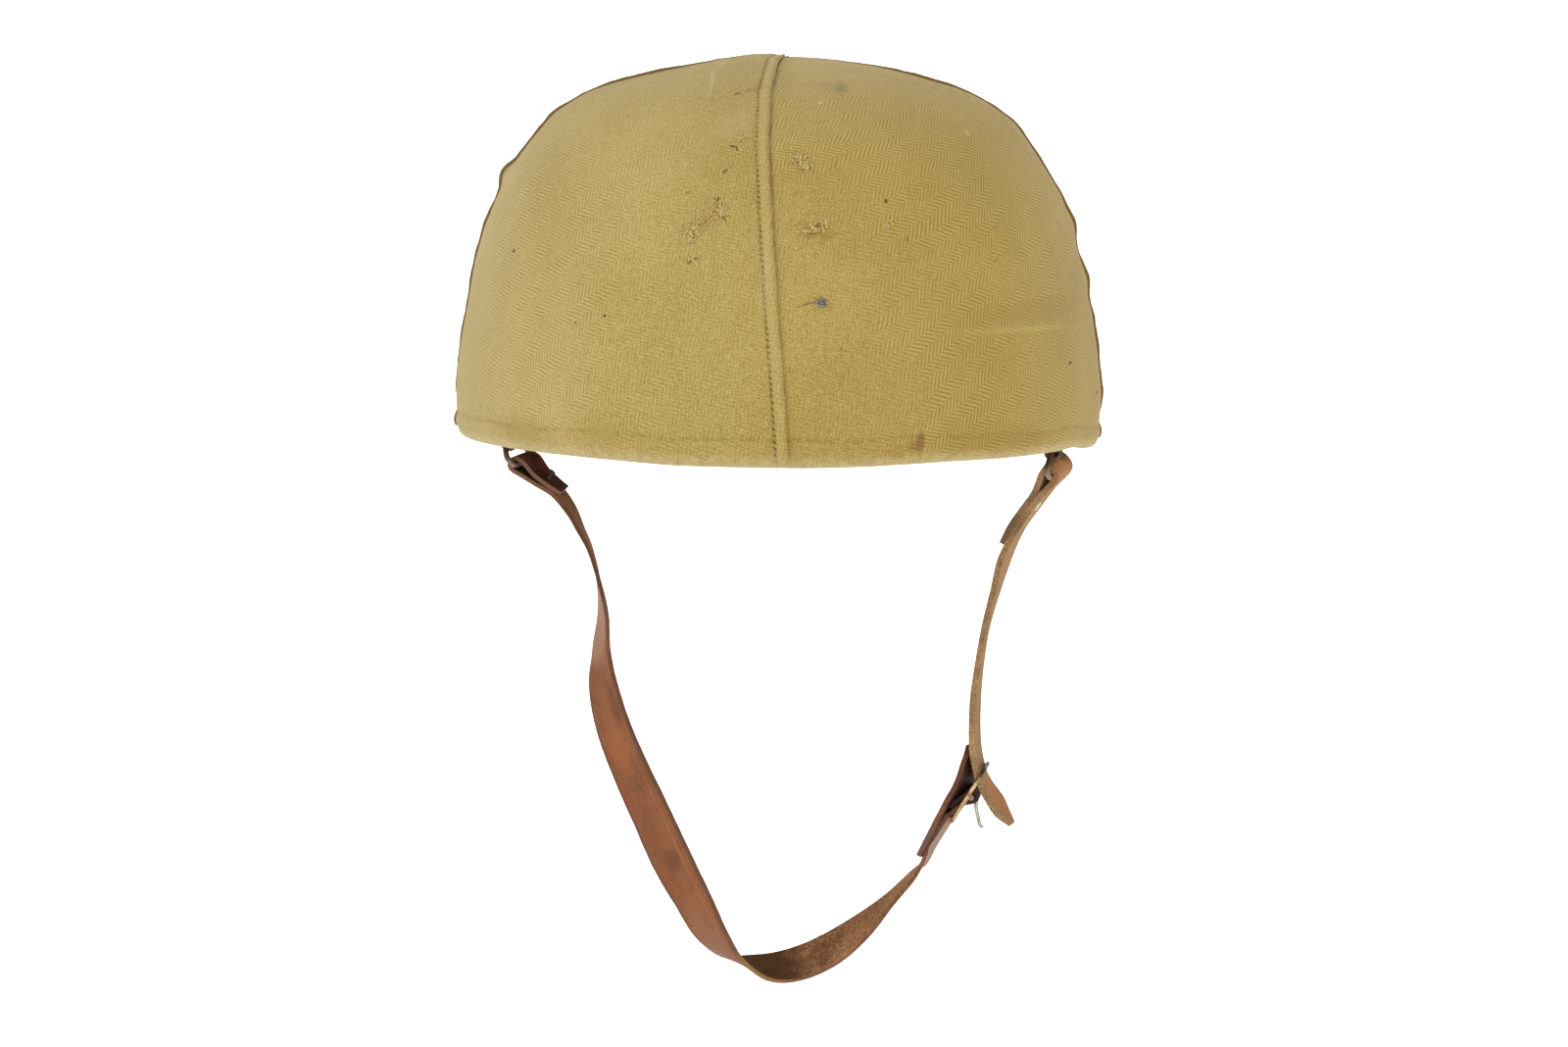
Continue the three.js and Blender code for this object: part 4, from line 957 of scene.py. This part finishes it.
metals = {
    # bright, dull, dark upper part (painted shade under the rim and straps, partly tarnish) and the heights it fades
    # between, roughness, metallic
    "darkWire": ((176, 150, 124), (100, 78, 62), (74, 54, 46), (-0.146, -0.139), 0.42, 0.35),
    "darkRivet": ((226, 188, 168), (96, 64, 54), (60, 36, 32), (-0.1505, -0.149), 0.34, 0.5),
    "tarnishedBrass": ((222, 194, 148), (134, 98, 66), (50, 38, 30), (-0.2625, -0.2580), 0.34, 0.85),
    "prongSteel": ((226, 224, 214), (150, 146, 130), (120, 104, 84), (-0.272, -0.264), 0.26, 0.85),
}


def makeMetal(name):
    bright, dull, shadeAndTarnishAbove, fade, roughness, metallic = metals[name]
    newMaterial(name)
    where = objectPlace()
    patches, pits = cloud(where, 3.5, 4.0, 0.65), cloud(where, 0.7, 3.0, 0.6)
    tone = ramp(plus(times(patches, 1.4), times(pits, 0.5)), 0.65, 1.25)
    colour = mixColours(tone, dull, bright)
    # the upper part is painted darker: shade under the rim and straps, partly tarnish
    colour = mixColours(ramp(split(where)[2], *fade, 0.0, 0.85), colour, shadeAndTarnishAbove)
    rough = ramp(tone, 0, 1, roughness + 0.25, roughness)
    return finishMaterial(colour, pits, 0.05, Roughness=rough, Metallic=metallic)


def makeFrame():
    # one wire bent into a rounded loop, with the bar across its middle
    bpy.ops.mesh.primitive_plane_add(size=1)
    piece = named("buckle_frame_wire")
    startEdit()
    long, wide = buckle["length"] - buckle["rail"], buckle["width"] - buckle["rail"]
    bpy.ops.transform.resize(value=(long * mm, wide * mm, 1))
    bpy.ops.mesh.bevel(offset=buckle["corner"] * mm, offset_type="OFFSET", segments=6, affect="VERTICES")
    bpy.ops.mesh.delete(type="ONLY_FACE")
    endEdit()
    bpy.ops.object.convert(target="CURVE")
    piece = bpy.context.object
    piece.data.bevel_depth = buckle["rail"] / 2 * mm
    piece.data.bevel_resolution = 4
    bpy.ops.object.convert(target="MESH")
    piece = bpy.context.object
    # the loop is flattened wire, and the bar is soldered to its underside
    startEdit()
    bpy.ops.transform.resize(value=(1, 1, buckle["flatness"]))
    bpy.ops.transform.translate(value=(0, 0, -buckle["loopOut"] * mm))
    endEdit()
    radius, across = strapSizes["barRadius"] * mm, (math.pi / 2, 0, 0)
    bpy.ops.mesh.primitive_cylinder_add(vertices=20, radius=radius, depth=wide * mm, rotation=across)
    bpy.ops.object.transform_apply(location=True, rotation=True, scale=True)
    piece.select_set(True)
    bpy.context.view_layer.objects.active = piece
    bpy.ops.object.join()
    addSlots(piece, 2)
    for polygon in piece.data.polygons:
        if abs(polygon.center.x) < 1.2 * mm and polygon.center.z < 0.45 * mm:
            polygon.material_index = 1
    (leanCos, leanSin), (yawCos, yawSin) = direction(buckle["lean"]), direction(buckle["yaw"])
    back, up = Vector((yawSin, yawCos, 0)), Vector((leanSin, 0, leanCos))
    up = (up - back * up.dot(back)).normalized()
    place = Vector((buckle["centre"][0], 0, buckle["centre"][1] - rimDrop)) * mm
    turn = Matrix((up, back, up.cross(back))).transposed().to_4x4()
    piece.data.transform(Matrix.Translation(place) @ turn)
    startEdit()
    bpy.ops.mesh.remove_doubles(threshold=0.00001)
    bpy.ops.mesh.normals_make_consistent(inside=False)
    endEdit()
    return smoothShade(piece, 50)


rivet = {
    "middle": (-87.8, 0, -17.7), "lean": 33.7, "move": (-1.4, 0, -0.5),
    # both heads are drawn in to the leather, and the upper one is small: above, shift, size
    "heads": ((True, 0.35, 0.72), (False, 2.1, 1.0)),
}


def makeStud():
    stud = copyNode("stud_left", "stud_left_soft")
    startEdit()
    bpy.ops.mesh.select_mode(type="VERT")
    bpy.ops.mesh.select_all(action="SELECT")
    bpy.ops.transform.translate(value=Vector(rivet["move"]) * mm)
    endEdit()
    c, s = direction(rivet["lean"])
    axis = Vector((s, 0, c))
    middle = (Vector(rivet["middle"]) - Vector((0, 0, rimDrop))) * mm
    for above, shift, size in rivet["heads"]:
        for vertex in stud.data.vertices:
            vertex.select = ((vertex.co - middle).dot(axis) > 0) == above
        bpy.ops.object.mode_set(mode="EDIT")
        bpy.ops.transform.translate(value=axis * shift * mm)
        bpy.ops.transform.resize(value=(size, size, size))
        endEdit()
    roundEdges(stud, 0.25, 2, 40)
    return smoothShade(stud, 50)


def makeShellFinish():
    newMaterial("pressedFibre")
    where = objectPlace()
    blotch, fibre = cloud(where, 30, 4.0, 0.6), cloud(where, 1.6, 3.0, 0.65)
    tone = plus(times(blotch, 0.7), times(fibre, 0.6))
    colour = mixColours(ramp(tone, 0.35, 0.95), (112, 96, 66), (158, 138, 100))
    return finishMaterial(colour, fibre, 0.25, Roughness=0.9)


def addThreads(name, lines, radius):
    # thin round threads along lists of points, in metres
    bpy.ops.curve.primitive_nurbs_path_add()
    piece = named(name)
    piece.data.splines.clear()
    for line in lines:
        spline = piece.data.splines.new("POLY")
        spline.points.add(len(line) - 1)
        for point, place in zip(spline.points, line):
            point.co = (*place, 1)
    piece.data.dimensions = "3D"
    piece.data.bevel_depth = radius * mm
    piece.data.bevel_resolution = 1
    piece.data.use_fill_caps = True
    bpy.ops.object.convert(target="MESH")
    return smoothShade(bpy.context.object)


frays = {
    # x, height, spread along, spread across, tilt, threads
    "darnLeft": (-27, 83.5, 9, 2.6, 46, 46),
    "darnFoot": (-30.6, 78.6, 3.0, 1.2, 75, 14),
    "darnTop": (-20.2, 86.0, 3.2, 1.2, 70, 14),
    "frayTop": (6.2, 104.6, 4.2, 1.4, -35, 26),
    "frayTopPale": (8.6, 102.4, 1.4, 0.7, -10, 9),
    "frayMiddle": (11.5, 81, 4.2, 1.7, 8, 26),
    "knotPale": (37.2, 83.6, 1.2, 0.9, 20, 10),
    "frayLow": (-30.8, 69.2, 1.4, 0.8, 10, 6),
    "tuftTop": (-14.4, 112.6, 1.6, 0.5, 20, 8),
}


def surfaceBelow(panels, x, height):
    # the point of the front panels straight behind x and height, and its normal
    for panel in panels:
        hit, place, normal, _ = panel.ray_cast(Vector((x, -300, height - rimDrop)) * mm, Vector((0, 1, 0)))
        if hit:
            return place, normal
    return None, None


def makeFrays(panels, material):
    for number, (name, (x, height, long, broad, tilt, count)) in enumerate(frays.items()):
        dice = random.Random(number + 5)
        (c, s), lines = direction(tilt), []
        for _ in range(count):
            along, aside = dice.uniform(-1, 1) * long, dice.gauss(0, 0.5) * broad
            startX, startZ = x + along * c - aside * s, height + along * s + aside * c
            heading = dice.uniform(0, 2 * math.pi)
            reach = dice.uniform(0.9, 2.6)
            bend = dice.uniform(-1.8, 1.8)
            line = []
            for k in range(7):
                f = k / 6
                px = startX + reach * f * math.cos(heading + bend * f)
                pz = startZ + reach * f * math.sin(heading + bend * f)
                place, normal = surfaceBelow(panels, px, pz)
                if place is None:
                    break
                lift = 0.12 + dice.uniform(0.2, 0.55) * math.sin(math.pi * min(f * 1.15, 1))
                line.append(place + normal * lift * mm)
            if len(line) > 3:
                lines.append(line)
        fit(addThreads("threads_" + name, lines, 0.19), [material])


lint = {"x": 14.4, "height": 55.9, "half": (2.2, 1.7, 0.9), "turns": 12, "radius": 0.24}


def makeLint(panels, material):
    # a small knot of lint that clings to the cloth: loops of yarn wound on each other
    place, normal = surfaceBelow(panels, lint["x"], lint["height"])
    sideways = normal.cross(Vector((0, 0, 1))).normalized()
    upwards = sideways.cross(normal)
    wide, tall, deep = lint["half"]
    dice = random.Random(3)
    lines = []
    for _ in range(lint["turns"]):
        axis = Vector((dice.gauss(0, 1), dice.gauss(0, 1), dice.gauss(0, 1))).normalized()
        first = axis.orthogonal().normalized()
        second = axis.cross(first)
        grow, lean = dice.uniform(0.75, 1.05), dice.uniform(-0.35, 0.35)
        line = []
        for k in range(15):
            angle = 2 * math.pi * k / 15
            spot = (first * math.cos(angle) + second * math.sin(angle) + axis * lean) * grow
            spot = sideways * spot.x * wide + upwards * spot.y * tall + normal * (spot.z + 0.8) * deep
            line.append(place + spot * mm)
        lines.append(line)
    fit(addThreads("threads_lintKnot", lines, lint["radius"]), [material])


whiteStitches = [
    # x, height and the way each goes over the short strap's outer edge
    (98.9, -22.6, 2.0, 1.9), (98.2, -24.2, 1.8, 1.5),
]


def makeWhiteStitches(strapPiece, material):
    lines = []
    for x, height, along, leap in whiteStitches:
        hit, place, *_ = strapPiece.ray_cast(Vector((x, -60, height - rimDrop)) * mm, Vector((0, 1, 0)))
        if hit:
            reach = Vector((0.62 * along, 0, 0.78 * along)) * mm
            rise = Vector((0.3 * leap, -0.5, 0)) * mm
            below = place + Vector((0, 0.4, 0)) * mm
            over = place + rise
            lines.append([below - reach * 0.5, over - reach * 0.3, over + reach * 0.3, below + reach * 0.5])
    fit(addThreads("threads_whiteStitches", lines, 0.3), [material])


def makeThreadFinish(name, light, deep):
    newMaterial(name)
    fine = cloud(objectPlace(), 1.0)
    colour = mixColours(ramp(fine, 0.3, 0.7), deep, light)
    return finishMaterial(colour, fine, 0.1, Roughness=0.9, Sheen_Weight=0.3)


addCamera()
addStudio()
print("camera and studio ready")

frontCloth = makeCloth("herringboneFront", True)
rearCloth = makeCloth("herringboneRear", False)
panels = {}
for side, sideName in ((-1, "left"), (1, "right")):
    for back, endName in ((False, "front"), (True, "rear")):
        name = "cover_" + endName + "_" + sideName
        panel, (wide, long, area) = makePanel("cloth_" + endName + "_" + sideName, side, back)
        fit(panel, [rearCloth if back else frontCloth], name)
        print(name, "cut %.0f x %.0f mm" % (wide / mm, long / mm), "area %.1f cm2" % (area * 10000))
        panels[name] = panel
print("cover sewn:", sum(len(p.data.polygons) for p in panels.values()), "faces")

fit(smoothCopy("shell", "shell_smooth"), [makeShellFinish()], "shell")
print("shell smoothed")

hides = {name: makeLeather(name) for name in leather}
straps = {}
for name, plan, faces, slot, node in (
    ("chin_strap_long", longStrap, ("brownGrain", "brownFlesh", "brownCutEdge"), "brown_leather", "strap_long"),
    ("chin_strap_short", shortStrap, ("tanGrain", "tanFlesh", "tanCutEdge"), "tan_leather", "strap_short"),
    ("buckle_flap", backing, ("flapLeatherAndShade", "flapLeatherAndShade", "flapCutEdge"), "brown_leather", "buckle_backing"),
):
    straps[name] = makeStrap(name, plan)
    fit(straps[name], [hides[face] for face in faces], node)
print("straps laid")

metal = {name: makeMetal(name) for name in metals}
for node, finish, fatten, slot, body in (
    ("bail_left", "darkWire", 0.24, "dark_metal", "helmet"),
    ("bail_right", "darkWire", 0.24, "dark_metal", "helmet"),
    ("buckle_prong", "prongSteel", 0.12, "prong_steel", "prong"),
):
    fit(smoothCopy(node, node + "_round", fatten), [metal[finish]], node, body)
frameLoop, stud = makeFrame(), makeStud()
fit(frameLoop, [metal["tarnishedBrass"], metal["darkWire"]], "buckle_frame")
fit(stud, [metal["darkRivet"]], "stud_left")
for node in ("lug_left", "lug_right"):
    dress(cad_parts[node], [metal["darkWire"]])
print("metal fitted")

fronts = [panels["cover_front_left"], panels["cover_front_right"]]
makeFrays(fronts, makeThreadFinish("paleThread", (214, 193, 126), (176, 150, 82)))
makeLint(fronts, makeThreadFinish("greyLint", (178, 158, 136), (80, 70, 56)))
makeWhiteStitches(straps["chin_strap_short"], makeThreadFinish("whiteThread", (250, 248, 236), (220, 214, 196)))
print("loose threads laid")
